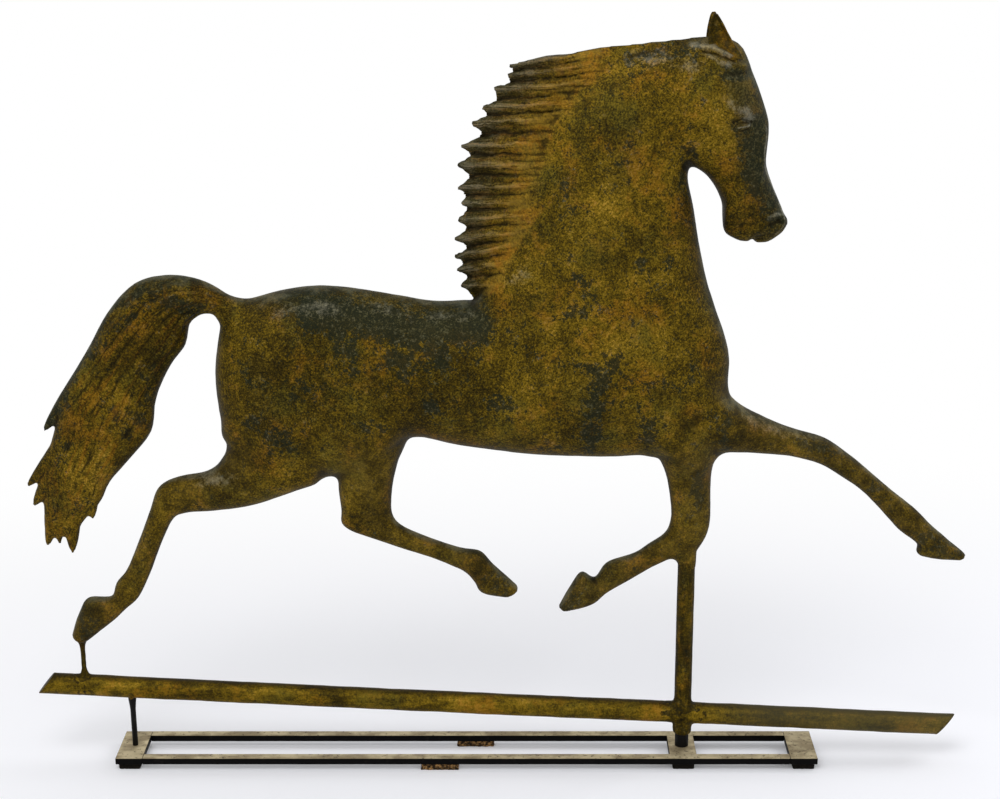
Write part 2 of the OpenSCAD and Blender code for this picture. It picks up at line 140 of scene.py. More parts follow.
right_fore = [
    [(-40, 352), (34, 350), 30], [(-28, 305), (23, 303), 24], [(-21, 284), (20, 286), 15],
    [(-16, 260), (19, 264), 13], [(-15, 244), (20, 240), 12.5], [(-20, 229), (15, 222), 12.5],
    [(-34, 219), (2, 206), 11.5], [(-48, 210), (-24, 199), 10], [(-73, 199.5), (-57, 180), 9.5],
    [(-85, 184.5), (-73, 170), 8.5], [(-97, 190), (-84, 159.5), 11], [(-108, 173), (-98, 154), 11.5],
    [(-117.5, 155), (-110, 151), 8],
]
left_fore = [
    [(5, 312), (8, 372), 30], [(35, 309), (34, 361), 24], [(60, 306), (52, 345), 18],
    [(90, 302), (86, 329), 14], [(118, 293), (121, 317), 12], [(138, 280), (143, 301), 11],
    [(162, 262), (171, 277), 9], [(194, 228), (208, 247), 9.5], [(210, 215), (224, 231), 9],
    [(215, 202), (239, 218), 11], [(251, 198), (258, 202), 7],
]
tail = [
    [(-375, 448), (-398, 412), 16], [(-392, 450), (-418, 428), 14], [(-410, 454), (-424, 437), 12],
    [(-433, 467), (-435, 437), 14], [(-462, 472), (-446, 428), 17], [(-492, 465), (-451, 409), 19],
    [(-517, 439), (-465.6, 389), 20], [(-540, 401), (-479.6, 360), 20], [(-564, 363), (-486, 328), 19],
    [(-573, 329), (-507, 302), 17], [(-587, 290), (-527, 279), 14], [(-588, 270), (-535.5, 262), 11],
    [(-588.5, 252), (-546, 250), 8.5], [(-589.5, 237), (-557, 236), 6.5], [(-588, 226), (-562, 228), 4],
]
# Strands at the end of the tail: [where it leaves the tail, its tip, half width]
strands = [
    [(-546, 268), (-544.5, 243), 8.5], [(-564, 244), (-565.5, 209.5), 8.5], [(-577, 238), (-577, 218), 5],
    [(-582, 240), (-588.5, 216.5), 6.5], [(-577, 287), (-598, 256), 9.5], [(-565.5, 315), (-602, 275), 10],
    [(-550, 368), (-583, 328.5), 10],
]
LEG_SPREAD = 10
SPREAD_ROWS = 4
# A leg off the middle plane also stands a little further forward and up, by its side
leg_shift = {1: (0.8, 0.9), -1: (0.3, 0.6), 0: (0, 0)}
STRAND_TAPER = 0.55
STRAND_BLUNTNESS = 0.12


def leg_rows(rows, side=0):
    """A leg's rows, moved off the middle plane step by step by the side it stands on."""
    moved = []
    for i, (a, b, half) in enumerate(rows):
        share = min(1, max(0, i - 1) / SPREAD_ROWS)
        shift = np.array(leg_shift[side]) * share
        moved.append([*(a + shift), *(b + shift), half, side * LEG_SPREAD * share])
    return moved


def strand_rows(start, tip, half_width, steps=8):
    """A strand of hair that narrows on a curve to its tip."""
    start, tip = np.array(start, float), np.array(tip, float)
    run = (tip - start) / np.linalg.norm(tip - start)
    square = np.array((-run[1], run[0]))
    rows = []
    for i in range(steps + 1):
        share = i / steps
        width = half_width * max(STRAND_BLUNTNESS, (1 - share) ** STRAND_TAPER)
        middle = start + (tip - start) * share
        rows.append([*(middle + width * square), *(middle - width * square), width, 0])
    return rows


# %% [markdown]
# The mane is a wedge that leaves the crest of the neck and thins to fourteen pointed locks. A comb of
# separate cones would leave holes between them, so the wedge is one loft with four-sided rings, and its
# rings stand at each tip and at each notch between two tips.

# %% Rows of the mane
lock_tips = [
    (-203.8, 463.1), (-206.3, 476.6), (-207.9, 489.2), (-208.4, 504.7), (-205, 521.2), (-202.2, 535.4),
    (-204.1, 549.1), (-205.3, 568.8), (-201.4, 585.8), (-192.8, 605.7), (-183.3, 618.8), (-172.8, 635.3),
    (-162.2, 645.9), (-159.1, 654.7),
]
lock_notches = [
    (-193, 453.5), (-200, 470.5), (-202.6, 483.1), (-198.9, 497.2), (-199.6, 514.1), (-198.8, 531.1),
    (-199.5, 542.4), (-196.4, 559.7), (-195.4, 578), (-185.1, 596.2), (-181.6, 612.5), (-173.2, 625.5),
    (-160.9, 640.4), (-158.6, 649.6), (-154, 661),
]
# Where the ridge of each lock dies out on the neck
lock_ends = [
    (-171, 467.5), (-162, 488.9), (-155, 504.9), (-148, 515.4), (-145, 529.5), (-144, 541.7), (-142, 555.6),
    (-139, 572.9), (-135, 590.1), (-122, 612), (-113, 624), (-103, 640), (-92, 656), (-84, 667),
]
crest_tips = [(-119, 664), (-77, 671), (-38, 674.5), (3, 678.5), (12, 678)]
crest_roots = [(-92, 638), (-62, 646), (-34, 650), (4, 655), (13, 655)]
# The line where the wedge leaves the neck, and how far it climbs towards it, by height
root_heights = [463, 482, 530, 585, 655]
root_places = [-175, -158, -150, -145, -114]
climb_heights = [452, 463, 545, 655]
climbs = [7, 13, 2, 8]
mane_thickness_heights = [452, 484, 500, 585, 640, 664]
mane_thickness = [9, 17, 20, 18, 12, 8]


def wedge_root(point):
    """Where the wedge leaves the neck beside a point on its edge."""
    x, z = point
    return np.interp(z, root_heights, root_places), z + np.interp(z, climb_heights, climbs)


def in_turn(notches, tips):
    """Notch, tip, notch and so on, up to the last notch."""
    return [point for pair in zip(notches, tips) for point in pair] + notches[-1:]


edge_points = in_turn(lock_notches, lock_tips)
mane_tips = np.array(edge_points[:-1] + crest_tips, float)
mane_roots = np.array([wedge_root(point) for point in edge_points[:-1]] + crest_roots, float)
comb_tips = np.array(edge_points, float)
ends = np.array(lock_ends, float)
end_notches = [ends[0] + (-4, -7), *((ends[:-1] + ends[1:]) / 2), ends[-1] + (2, 6)]
comb_roots = np.array(in_turn(end_notches, list(ends)), float)
print(len(lock_tips), "locks,", len(mane_tips), "rows of the mane")


# %% [markdown]
# Every form above is made by the same operator: one circle is extruded again and again, and each time a
# matrix moves the new ring to the next ellipse.

# %% Loft the forms
LOFT_SIDES = 48
ROW_STEPS = 4


def between(rows, place):
    """The row at a place on smooth curves through the rows, such as 2.5 for half way from 2 to 3."""
    last = len(rows) - 1
    i = min(int(place), last - 1)
    round_about = (max(i - 1, 0), i, i + 1, min(i + 2, last))
    before, here, after, beyond = (np.array(rows[k], float) for k in round_about)
    t = place - i
    return 0.5 * (2 * here + (after - before) * t + (2 * before - 5 * here + 4 * after - beyond) * t * t
                  + (3 * here - before - 3 * after + beyond) * t ** 3)


def smooth_rows(rows):
    """More rows on smooth curves through the drawn ones."""
    return [between(rows, k / ROW_STEPS) for k in range((len(rows) - 1) * ROW_STEPS + 1)]


def ring_place(row):
    """The matrix that turns a unit circle into a row's ellipse."""
    a, b = Vector((row[0], 0, row[1])) * MM, Vector((row[2], 0, row[3])) * MM
    across = Vector((0, row[4] * MM, 0))
    along = (b - a) / 2
    normal = along.cross(across).normalized()
    place = Matrix((along, across, normal)).transposed().to_4x4()
    place.translation = (a + b) / 2 + Vector((0, row[5] * MM, 0))
    return place


def loft(bm, rows, sides=LOFT_SIDES):
    """Extrudes a circle through the rows and closes both ends."""
    places = [ring_place(row) for row in rows]
    verts = bmesh.ops.create_circle(bm, segments=sides, radius=1)["verts"]
    ends = edges = list({edge for vert in verts for edge in vert.link_edges})
    bmesh.ops.transform(bm, matrix=places[0], verts=verts)
    for before, after in zip(places, places[1:]):
        grown = bmesh.ops.extrude_edge_only(bm, edges=edges)["geom"]
        verts = {part for part in grown if isinstance(part, bmesh.types.BMVert)}
        edges = [part for part in grown
                 if isinstance(part, bmesh.types.BMEdge) and verts.issuperset(part.verts)]
        bmesh.ops.transform(bm, matrix=after @ before.inverted(), verts=list(verts))
    bmesh.ops.holes_fill(bm, edges=ends + edges, sides=0)


forms = bmesh.new()
for rows in (body, leg_rows(tail), leg_rows(left_hind), leg_rows(right_hind, side=-1),
             leg_rows(right_fore), leg_rows(left_fore, side=1)):
    loft(forms, smooth_rows(rows))
for strand in strands:
    loft(forms, strand_rows(*strand), sides=16)
# The foreleg closes round the spindle tube
collar = [(228, 8.2), (206, 8.8), (199, 8.6), (192, 7.6)]
loft(forms, [[-radius, height, radius, height, radius, 0] for height, radius in collar], sides=32)
TIP_SPARE = 1.2
mane_rows = []
for tip, root in zip(mane_tips, mane_roots):
    out = tip + (tip - root) / np.linalg.norm(tip - root) * TIP_SPARE
    half = np.interp(root[1], mane_thickness_heights, mane_thickness)
    mane_rows.append([*out, *(2 * root - out), half, 0])
loft(forms, mane_rows, sides=4)
bmesh.ops.recalc_face_normals(forms, faces=forms.faces)
print(len(forms.faces), "faces in the lofted forms")

# %% [markdown]
# The lofts overlap, as lumps of clay would. A voxel remesh takes their common outer surface, and
# smoothing the joints melts them together, which boolean cuts would leave sharp.

# %% Melt the forms into one skin
VOXEL = 1.6 * MM


def finished_mesh(name, bm, *modifiers):
    """A mesh from a bmesh, with these modifiers applied to it."""
    mesh = bpy.data.meshes.new(name)
    bm.to_mesh(mesh)
    bm.free()
    if not modifiers:
        return mesh
    holder = bpy.data.objects.new(name, mesh)
    scene.collection.objects.link(holder)
    for kind, settings in modifiers:
        modifier = holder.modifiers.new(kind.lower(), kind)
        for key, value in settings.items():
            setattr(modifier, key, value)
    done = bpy.data.meshes.new_from_object(holder.evaluated_get(bpy.context.evaluated_depsgraph_get()))
    bpy.data.objects.remove(holder)
    return done


skin = finished_mesh("skin", forms, ("REMESH", {"mode": "VOXEL", "voxel_size": VOXEL}))
print(len(skin.vertices), "points in the remeshed skin")

# %% [markdown]
# The eye and the muzzle need finer faces than a flank. A finer remesh of the whole horse would cost
# millions of faces, so only three places on the head are divided once more.

# %% Divide the head more finely
# Boxes on the side of the head, as [x from, x to, z from, z to]
fine_places = [(24, 50, 596, 614), (42, 82, 498, 534), (-12, 42, 648, 674)]


def is_fine(co):
    """Whether a point lies where the face needs fine detail."""
    x, z = co.x / MM, co.z / MM
    return any(x0 < x < x1 and z0 < z < z1 for x0, x1, z0, z1 in fine_places)


finer = bmesh.new()
finer.from_mesh(skin)
chosen = [edge for edge in finer.edges if is_fine(edge.verts[0].co) and is_fine(edge.verts[1].co)]
bmesh.ops.subdivide_edges(finer, edges=chosen, cuts=1, use_grid_fill=True)
skin = finished_mesh("skin", finer)
print(len(skin.vertices), "points with the finer face")

# %% [markdown]
# On the real horse the solder and the hammer have made each joint one soft curve. A bevel can't round a
# joint between free forms. So each point is moved towards its neighbours, most of all near the joints.

# %% Soften the joints


def read_points(mesh):
    """The mesh's points as rows of x, y and z."""
    flat = np.empty(len(mesh.vertices) * 3)
    mesh.vertices.foreach_get("co", flat)
    return flat.reshape(-1, 3)


points = read_points(skin)
links = np.empty(len(skin.edges) * 2, int)
skin.edges.foreach_get("vertices", links)
links = links.reshape(-1, 2)
neighbours = np.bincount(links.ravel(), minlength=len(points))


def neighbour_mean(values):
    """The mean over each point's neighbours along the edges."""
    total = np.zeros_like(values)
    for column in range(values.shape[1]):
        for near, far in ((0, 1), (1, 0)):
            total[:, column] += np.bincount(links[:, near], values[links[:, far], column], len(values))
    return total / neighbours[:, None]


def soften(values, times, share=1.0):
    """Moves each point towards the mean of its neighbours, by a share that may differ over the skin."""
    for _ in range(times):
        values = values + 0.6 * share * (neighbour_mean(values) - values)
    return values


JOINT_ROUNDS, SKIN_ROUNDS = 40, 3
ROOT_REACH, CREST_REACH = 11, 7
# Places where two forms meet, as [x, z, radius] in millimetres
joints = [
    (-370, 295, 62), (-285, 300, 55), (-3, 300, 48), (38, 335, 42), (-402, 442, 26), (-12, 568, 16),
    (-6, 205, 17),
]


def near_spot(flat, x, z, radius):
    """One at a spot on the side of the horse, falling smoothly to nought at its radius."""
    near = np.clip(1 - np.hypot(flat[:, 0] - x, flat[:, 1] - z) / radius, 0, 1)
    return near ** 2 * (3 - 2 * near)


def near_path(flat, path):
    """Each point's distance from a path, in millimetres."""
    nearest = np.full(len(flat), 1e6)
    for start, end in zip(path, path[1:]):
        start, run = np.array(start, float), np.subtract(end, start).astype(float)
        along = np.clip((flat - start) @ run / (run @ run), 0, 1)
        nearest = np.minimum(nearest, np.linalg.norm(flat - start - along[:, None] * run, axis=1))
    return nearest


flat = points[:, [0, 2]] / MM
joint_share = np.clip(sum(near_spot(flat, *spot) for spot in joints) * 2, 0, 1)
# The wedge of the mane melts into the neck along its roots, and less so along the top of the head
joint_share = np.maximum(joint_share, np.exp(-((near_path(flat, mane_roots[1:]) / ROOT_REACH) ** 2)))
crest_share = 0.65 * np.exp(-((near_path(flat, crest_tips) / CREST_REACH) ** 2))
points = soften(points, JOINT_ROUNDS, np.maximum(joint_share, crest_share)[:, None])
points = soften(points, SKIN_ROUNDS)
print(int((joint_share > 0.5).sum()), "points in the joints")
flat = points[:, [0, 2]] / MM

# %% [markdown]
# Softening draws corners and points in. The outline is brought back as a modeller would do it, by soft
# presses of the thumb in the plane of the photograph, and each lock is drawn out again at its tip.

# %% Press the outline back
# Each press is [x, z, reach, forward, up] in millimetres
nudges = [
    (-328, 285, 10, -6.0, 1.6), (-263, 305, 10, -0.8, 0.3), (-270, 262, 25, 0.8, 0),
    (-255, 317, 6, -0.6, 0.8), (-35, 304, 9, -0.3, -2.4), (26, 304, 7, 0.6, -1.6), (38, 306, 12, 0, -1.0),
    (22, 270, 25, 0.8, 0), (-50, 207, 16, 0, -1.7), (-25, 222, 12, -0.3, -0.8), (-84, 187, 8, 0, -0.8),
    (-16, 203, 8, 0, 2.0), (-35, 196, 14, 0, 1.1), (-108, 153, 8, 0, 1.0), (235, 201, 14, 0.4, -1.0),
    (258, 203, 5, -0.3, -0.4), (212, 212, 5, 1.8, 0), (-156, 171, 5, 2.2, -0.8), (-430, 296, 10, 0.4, -0.8),
    (-450, 288, 20, 0, -0.6), (-545, 133, 14, -0.6, 0.9), (-548, 163, 10, 0, -0.8), (-424, 395, 25, 0.3, 0),
    (-8, 569, 6, -0.8, 1.4), (14, 553, 12, 0.6, 0.4), (10, 465, 22, -0.9, 0), (24, 415, 22, 0.8, 0),
    (35, 368, 18, -1.8, 0), (-2, 530, 18, 1.2, 0), (-275, 456, 30, 0, -0.5), (-345, 463, 18, 0, 0.8),
    (-194, 452, 8, 0, -2.2), (25, 508, 6, -1.0, -0.6), (78, 522, 4, 1.5, 0), (79, 514.5, 3, -0.4, 0),
    (48.8, 501.5, 2.2, 0, 2.2), (53.5, 500, 2.6, 0, -0.9), (-150, 306, 80, 0, -1.3),
    (-230, 318, 22, 0, -1.0), (-60, 303, 30, 0, -0.8), (58, 342, 16, 0.6, 1.0), (168, 285, 22, 0.5, 0.7),
]
LOCK_POINT, LOCK_REACH = 1.3, 2.8
for tip in np.array(lock_tips):
    out = tip - wedge_root(tip)
    nudges.append((*tip, LOCK_REACH, *(LOCK_POINT * out / np.linalg.norm(out))))
for x, z, reach, forward, up in nudges:
    share = np.exp(-((flat - (x, z)) ** 2).sum(1) / reach ** 2) * MM
    points[:, 0] += share * forward
    points[:, 2] += share * up
flat = points[:, [0, 2]] / MM
print(len(nudges), "presses on the outline")

# %% [markdown]
# Relief could be painted as bump only, but it would vanish from the outline and from other views. So
# the face, the locks and the hair of the tail are pressed into the skin itself, stroke by stroke: each
# stroke raises or sinks the points near a drawn path.

# %% Press the face and the creases
# Strokes: [path in millimetres, half width, height]. A height below nought is a groove.
strokes = [
    # Brow, eye and lids
    ([(26, 622), (37, 616), (41, 611)], 6.5, 2.0),
    ([(27, 609), (33, 611.5), (41, 609)], 2.4, -1.5),
    ([(30, 605), (34, 605.3), (38, 606)], 2.4, 1.8),
    ([(27.4, 604.9), (29.3, 607), (32.3, 608.3), (35.4, 608.4), (39, 607.6)], 0.9, -1.3),
    ([(30.5, 602.6), (34.1, 601.8), (38.5, 603.5)], 1.0, -0.5),
    # Ridge of the cheek, nostril, lips and chin
    ([(33, 588), (45, 562), (54, 541)], 7, 1.3),
    ([(63.5, 517.5), (67, 519.5), (70, 521)], 3.2, -2.8),
    ([(59, 519.5), (61.5, 525.5), (67, 527), (72, 525)], 1.8, 1.5),
    ([(72.5, 525), (75.5, 520.5), (74, 516)], 1.6, 0.9),
    ([(61.5, 513), (67.5, 513), (72.5, 516)], 1.8, 0.9),
    ([(47.5, 503.5), (51, 507), (58, 508.5)], 1.4, -0.9),
    ([(51, 503.5), (54, 505), (56.5, 505.2)], 1.3, -1.4),
    ([(50, 512.5), (57, 514), (64, 517)], 2.0, 1.1),
    ([(42, 507), (38, 512), (38, 518)], 4, -0.9),
    # Folds below the ear
    ([(-10, 671), (6, 670), (15, 667), (22.5, 664.2), (27.6, 660.4)], 2.5, 1.7),
    ([(0, 667), (12, 664.9), (19, 662.4), (27, 659.4)], 1.7, -1.6),
    ([(-4, 663.5), (7.1, 662), (13, 658.4), (22.6, 655), (35, 654)], 3.0, 1.7),
    ([(27.5, 660.5), (35.5, 661)], 3.2, -1.9),
    ([(-2, 656.5), (12, 651.6), (22, 649), (40, 649)], 4.5, -1.3),
    ([(15, 672.5), (21, 669), (24.5, 666.4)], 2.6, -3.0),
    # Throat, neck and shoulders
    ([(-38, 584), (-26, 576), (-12, 567)], 9, -1.4),
    ([(-20, 640), (-30, 610), (-24, 586)], 10, -1.0),
    ([(-37, 651), (-60, 645), (-77, 636), (-81, 620), (-80, 602), (-74, 591)], 1.2, -0.45),
    ([(32, 372), (8, 352), (-22, 330)], 8, -1.4),
    ([(-330, 300), (-322, 330), (-326, 352)], 11, -1.6),
    ([(-256, 322), (-262, 350), (-280, 380)], 12, -1.4),
    ([(-36, 312), (-40, 340), (-30, 372)], 11, -1.2),
]


def soft_stroke(path, width):
    """One on the path, falling softly to nought on both sides."""
    return np.exp(-((near_path(flat, path) / width) ** 2))


lift = np.zeros(len(points))
for path, width, height in strokes:
    lift += height * soft_stroke(path, width)
print(len(strokes), "strokes, deepest", round(float(lift.min()), 2), "mm")

# %% [markdown]
# Leg, tail and body have to be told apart, first for the combing and later for the cuts. A few straight
# lines on the side of the horse do that, drawn where the real halves are soldered.

# %% Tell the parts of the horse apart
parts = ["body", "mane", "tail", "right_foreleg", "left_foreleg", "right_hind_leg", "left_hind_leg"]


def below_line(x, z, a, b):
    """True on the right hand of the line from a to b."""
    return (b[0] - a[0]) * (z - a[1]) - (b[1] - a[1]) * (x - a[0]) < 0


def part_numbers(flat):
    """The number in parts of each place on the side of the horse. The mane is left in the body here."""
    x, z = flat.T
    hair_edge = np.interp(x, [-556, -500, -440], [190, 290, 345])
    in_tail = ((x < -440) & (z > hair_edge)) | (
        (x >= -440) & (x < -380) & (z > 400) & below_line(x, z, (-392, 450), (-418, 428)))
    rules = {
        "tail": in_tail,
        "left_hind_leg": (x <= -321) & below_line(x, z, (-418, 317), (-318, 287)) & ~in_tail,
        "right_hind_leg": (x > -321) & (x < -130) & below_line(x, z, (-318, 287), (-252, 323))
        & ((x < -252) | (z < 262)),
        "right_foreleg": (x > -130) & (x < 34.5) & (((x > -29) & (z < 304)) | (z < 260)),
        "left_foreleg": (x > 34.5) & (z < 364),
    }
    numbers = np.zeros(len(flat), int)
    for part, inside in rules.items():
        numbers[inside] = parts.index(part)
    return numbers


# %% [markdown]
# The locks carry two or three fine ridges each, which run from the tips to the neck. A point's place
# among the locks and its share of the way from root to tip come from the same rows that made the wedge.

# %% Comb the mane


def strip_place(flat, side_a, side_b, fine=6):
    """Where points lie in a strip between two lines: the place along it, and the share from a to b."""
    count = len(side_a)
    spots = np.linspace(0, count - 1, (count - 1) * fine + 1)
    a = np.array([[np.interp(s, range(count), side_a[:, k]) for k in (0, 1)] for s in spots])
    b = np.array([[np.interp(s, range(count), side_b[:, k]) for k in (0, 1)] for s in spots])
    best, place, share = np.full(len(flat), 1e9), np.zeros(len(flat)), np.zeros(len(flat))
    for spot, start, run in zip(spots, a, b - a):
        along = (flat - start) @ run / (run @ run)
        off = np.abs((flat - start) @ np.array((-run[1], run[0]))) / np.linalg.norm(run)
        off += 40 * np.maximum(0, np.abs(along - 0.5) - 0.75)
        closer = off < best
        best[closer], place[closer], share[closer] = off[closer], spot, along[closer]
    return place, share, best


def strip_values(inside, side_a, side_b):
    """The same for the points inside a mask, with nought at all others."""
    full = np.zeros((3, len(flat)))
    full[:, inside] = strip_place(flat[inside], side_a, side_b)
    return full


KNOTS, FIRST_KNOT = 400, 50


def wavy(values, speed, seed):
    """A smooth random line over the values, about from -1 to 1."""
    knots = np.random.default_rng(seed).uniform(-1, 1, KNOTS)
    return np.interp(values * speed + FIRST_KNOT, range(KNOTS), knots)


# Heights of the broad ridge on each lock and of the fine ridges beside it, in millimetres
LOCK_RELIEF, FINE_RELIEF = 3.6, 2.4
in_mane = (flat[:, 0] < -60) & (flat[:, 1] > 450)
lock_place, lock_share, lock_off = strip_values(in_mane, comb_roots, comb_tips)
last_place = len(edge_points) - 1
combed = in_mane & (lock_off < 2) & (lock_share > -0.4)
# Each ridge dies out at its own place on the neck
fade = np.clip((lock_share + 0.14 + 0.24 * wavy(lock_place, 0.9, 3)) / 0.5, 0, 1) ** 1.3 * combed
fade *= np.clip(lock_place / 0.8, 0, 1) * np.clip((last_place - lock_place) / 0.8, 0, 1)
ripple = lock_place + 0.20 * wavy(lock_share * 3 + lock_place * 0.37, 1.6, 5)
lock_ridge = 1 - np.abs(ripple % 2 - 1)
fine_turn = math.pi * 1.5 * (ripple - 1) + math.pi / 2
fine_ridge = np.abs(np.sin(fine_turn + 0.5 * wavy(lock_place, 1.1, 8))) ** 0.7
outer = np.clip(lock_share, 0, 1)
mane_lift = fade * (LOCK_RELIEF * (lock_ridge - 0.55) * (0.4 + 0.6 * outer)
                    + FINE_RELIEF * (fine_ridge - 0.6) * (1 - 0.6 * outer))
comb = lock_ridge * (0.35 + 0.65 * outer) + fine_ridge * 0.65 * (1 - outer)
lift += mane_lift
print("mane lifted by up to", round(float(mane_lift.max()), 2), "mm")

# %% [markdown]
# The hair of the tail runs the same way, but it is flatter. It shows clear ridges only near the dock, and
# fine, patchy ones towards the tip.

# %% Comb the tail
# Height of the grooves far from the dock, their extra height near it, and that of the finer ridges
GROOVE_RELIEF, DOCK_RELIEF, HAIR_RELIEF = 0.3, 2.2, 0.6
tail_a = np.array([row[0] for row in tail] + [(-588, 208)], float)
tail_b = np.array([row[1] for row in tail] + [(-562, 208)], float)
in_tail = part_numbers(flat) == parts.index("tail")
tail_place, tail_share, _ = strip_values(in_tail, tail_a, tail_b)
# Grooves between the strands, and finer ridges that come and go
hair = tail_share * 6 + 0.55 * wavy(tail_place, 0.5, 11)
groove = np.abs(np.sin(math.pi * hair)) ** 0.6
strand_ridge = np.abs(np.sin(math.pi * (hair * 2.3 + 0.8 * wavy(tail_place, 1.3, 12))))
tail_rim = np.clip(6 * np.minimum(tail_share, 1 - tail_share) + 0.15, 0, 1)
near_dock = np.clip((8.5 - tail_place) / 3, 0, 1)
patchy = np.clip(0.55 + 0.6 * wavy(tail_place * 0.9 + hair * 1.7, 1.0, 14), 0.15, 1)
tail_fade = np.clip((tail_place - 1.5) / 1.8, 0, 1) * in_tail * tail_rim
tail_lift = tail_fade * ((GROOVE_RELIEF + DOCK_RELIEF * near_dock) * (groove - 0.65)
                         + HAIR_RELIEF * patchy * (strand_ridge - 0.6))
lift += tail_lift
print("tail lifted by up to", round(float(tail_lift.max()), 2), "mm")

# %% [markdown]
# Hand-beaten copper is never quite even, so a slow, shallow wave goes over the whole skin. Hollows and
# ridges are then measured on the finished skin and kept as attributes, and the finish makes the hollows
# darker.

# %% Move the skin and measure its hollows


def skin_normals(mesh):
    """The outward direction at each point of the mesh."""
    flat_normals = np.empty(len(mesh.vertices) * 3, np.float32)
    mesh.vertex_normals.foreach_get("vector", flat_normals)
    return flat_normals.reshape(-1, 3).astype(float)


def write_points(mesh, values):
    """Moves the mesh's points."""
    mesh.vertices.foreach_set("co", values.astype(np.float32).ravel())
    mesh.update()


write_points(skin, points)
normals = skin_normals(skin)
DENT = 0.35
WIDE_DENTS, NARROW_DENTS = 38, 95
# Softening makes every form a little smaller, and this makes up for it
GROW = 0.35
dents = np.array([noise.noise(Vector(p) * WIDE_DENTS) + 0.5 * noise.noise(Vector(p) * NARROW_DENTS)
                  for p in points])
facing = np.clip(np.abs(normals[:, 1]) * 1.6, 0, 1)
points = points + normals * ((lift * facing + DENT * dents + GROW) * MM)[:, None]
points = soften(points, 1, 0.5)
write_points(skin, points)
normals = skin_normals(skin)


def bend(values, reach):
    """How hollow the skin is at each point, over a reach of some edges. Ridges come out below nought."""
    mean = values
    for _ in range(reach):
        mean = neighbour_mean(mean)
    return ((mean - values) * normals).sum(1) / MM


hollow = np.clip(bend(points, 2) * 9 + bend(points, 8) * 1.6, -1, 1)
hollow = soften(hollow[:, None], 1)[:, 0]
print("hollows from", round(float(hollow.min()), 2), "to", round(float(hollow.max()), 2))


def keep(mesh, name, values):
    """Keeps a value for each point of the mesh."""
    attribute = mesh.attributes.new(name, "FLOAT", "POINT")
    attribute.data.foreach_set("value", values.astype(np.float32))


keep(skin, "hollow", hollow)
keep(skin, "lock", fade * outer)
keep(skin, "valley", fade * np.clip(1 - comb, 0, 1))
# Painted highlight on the crests of the locks
keep(skin, "crest", fade * np.clip((comb - 0.65) / 0.3, 0, 1))
keep(skin, "root", combed * np.exp(-((lock_share - 0.22) / 0.36) ** 2))
keep(skin, "hair", tail_fade + fade * 0.8)
keep(skin, "strand", np.where(in_mane, lock_place * 2.2, hair))
keep(skin, "along", np.where(in_mane, lock_share * 3, tail_place))
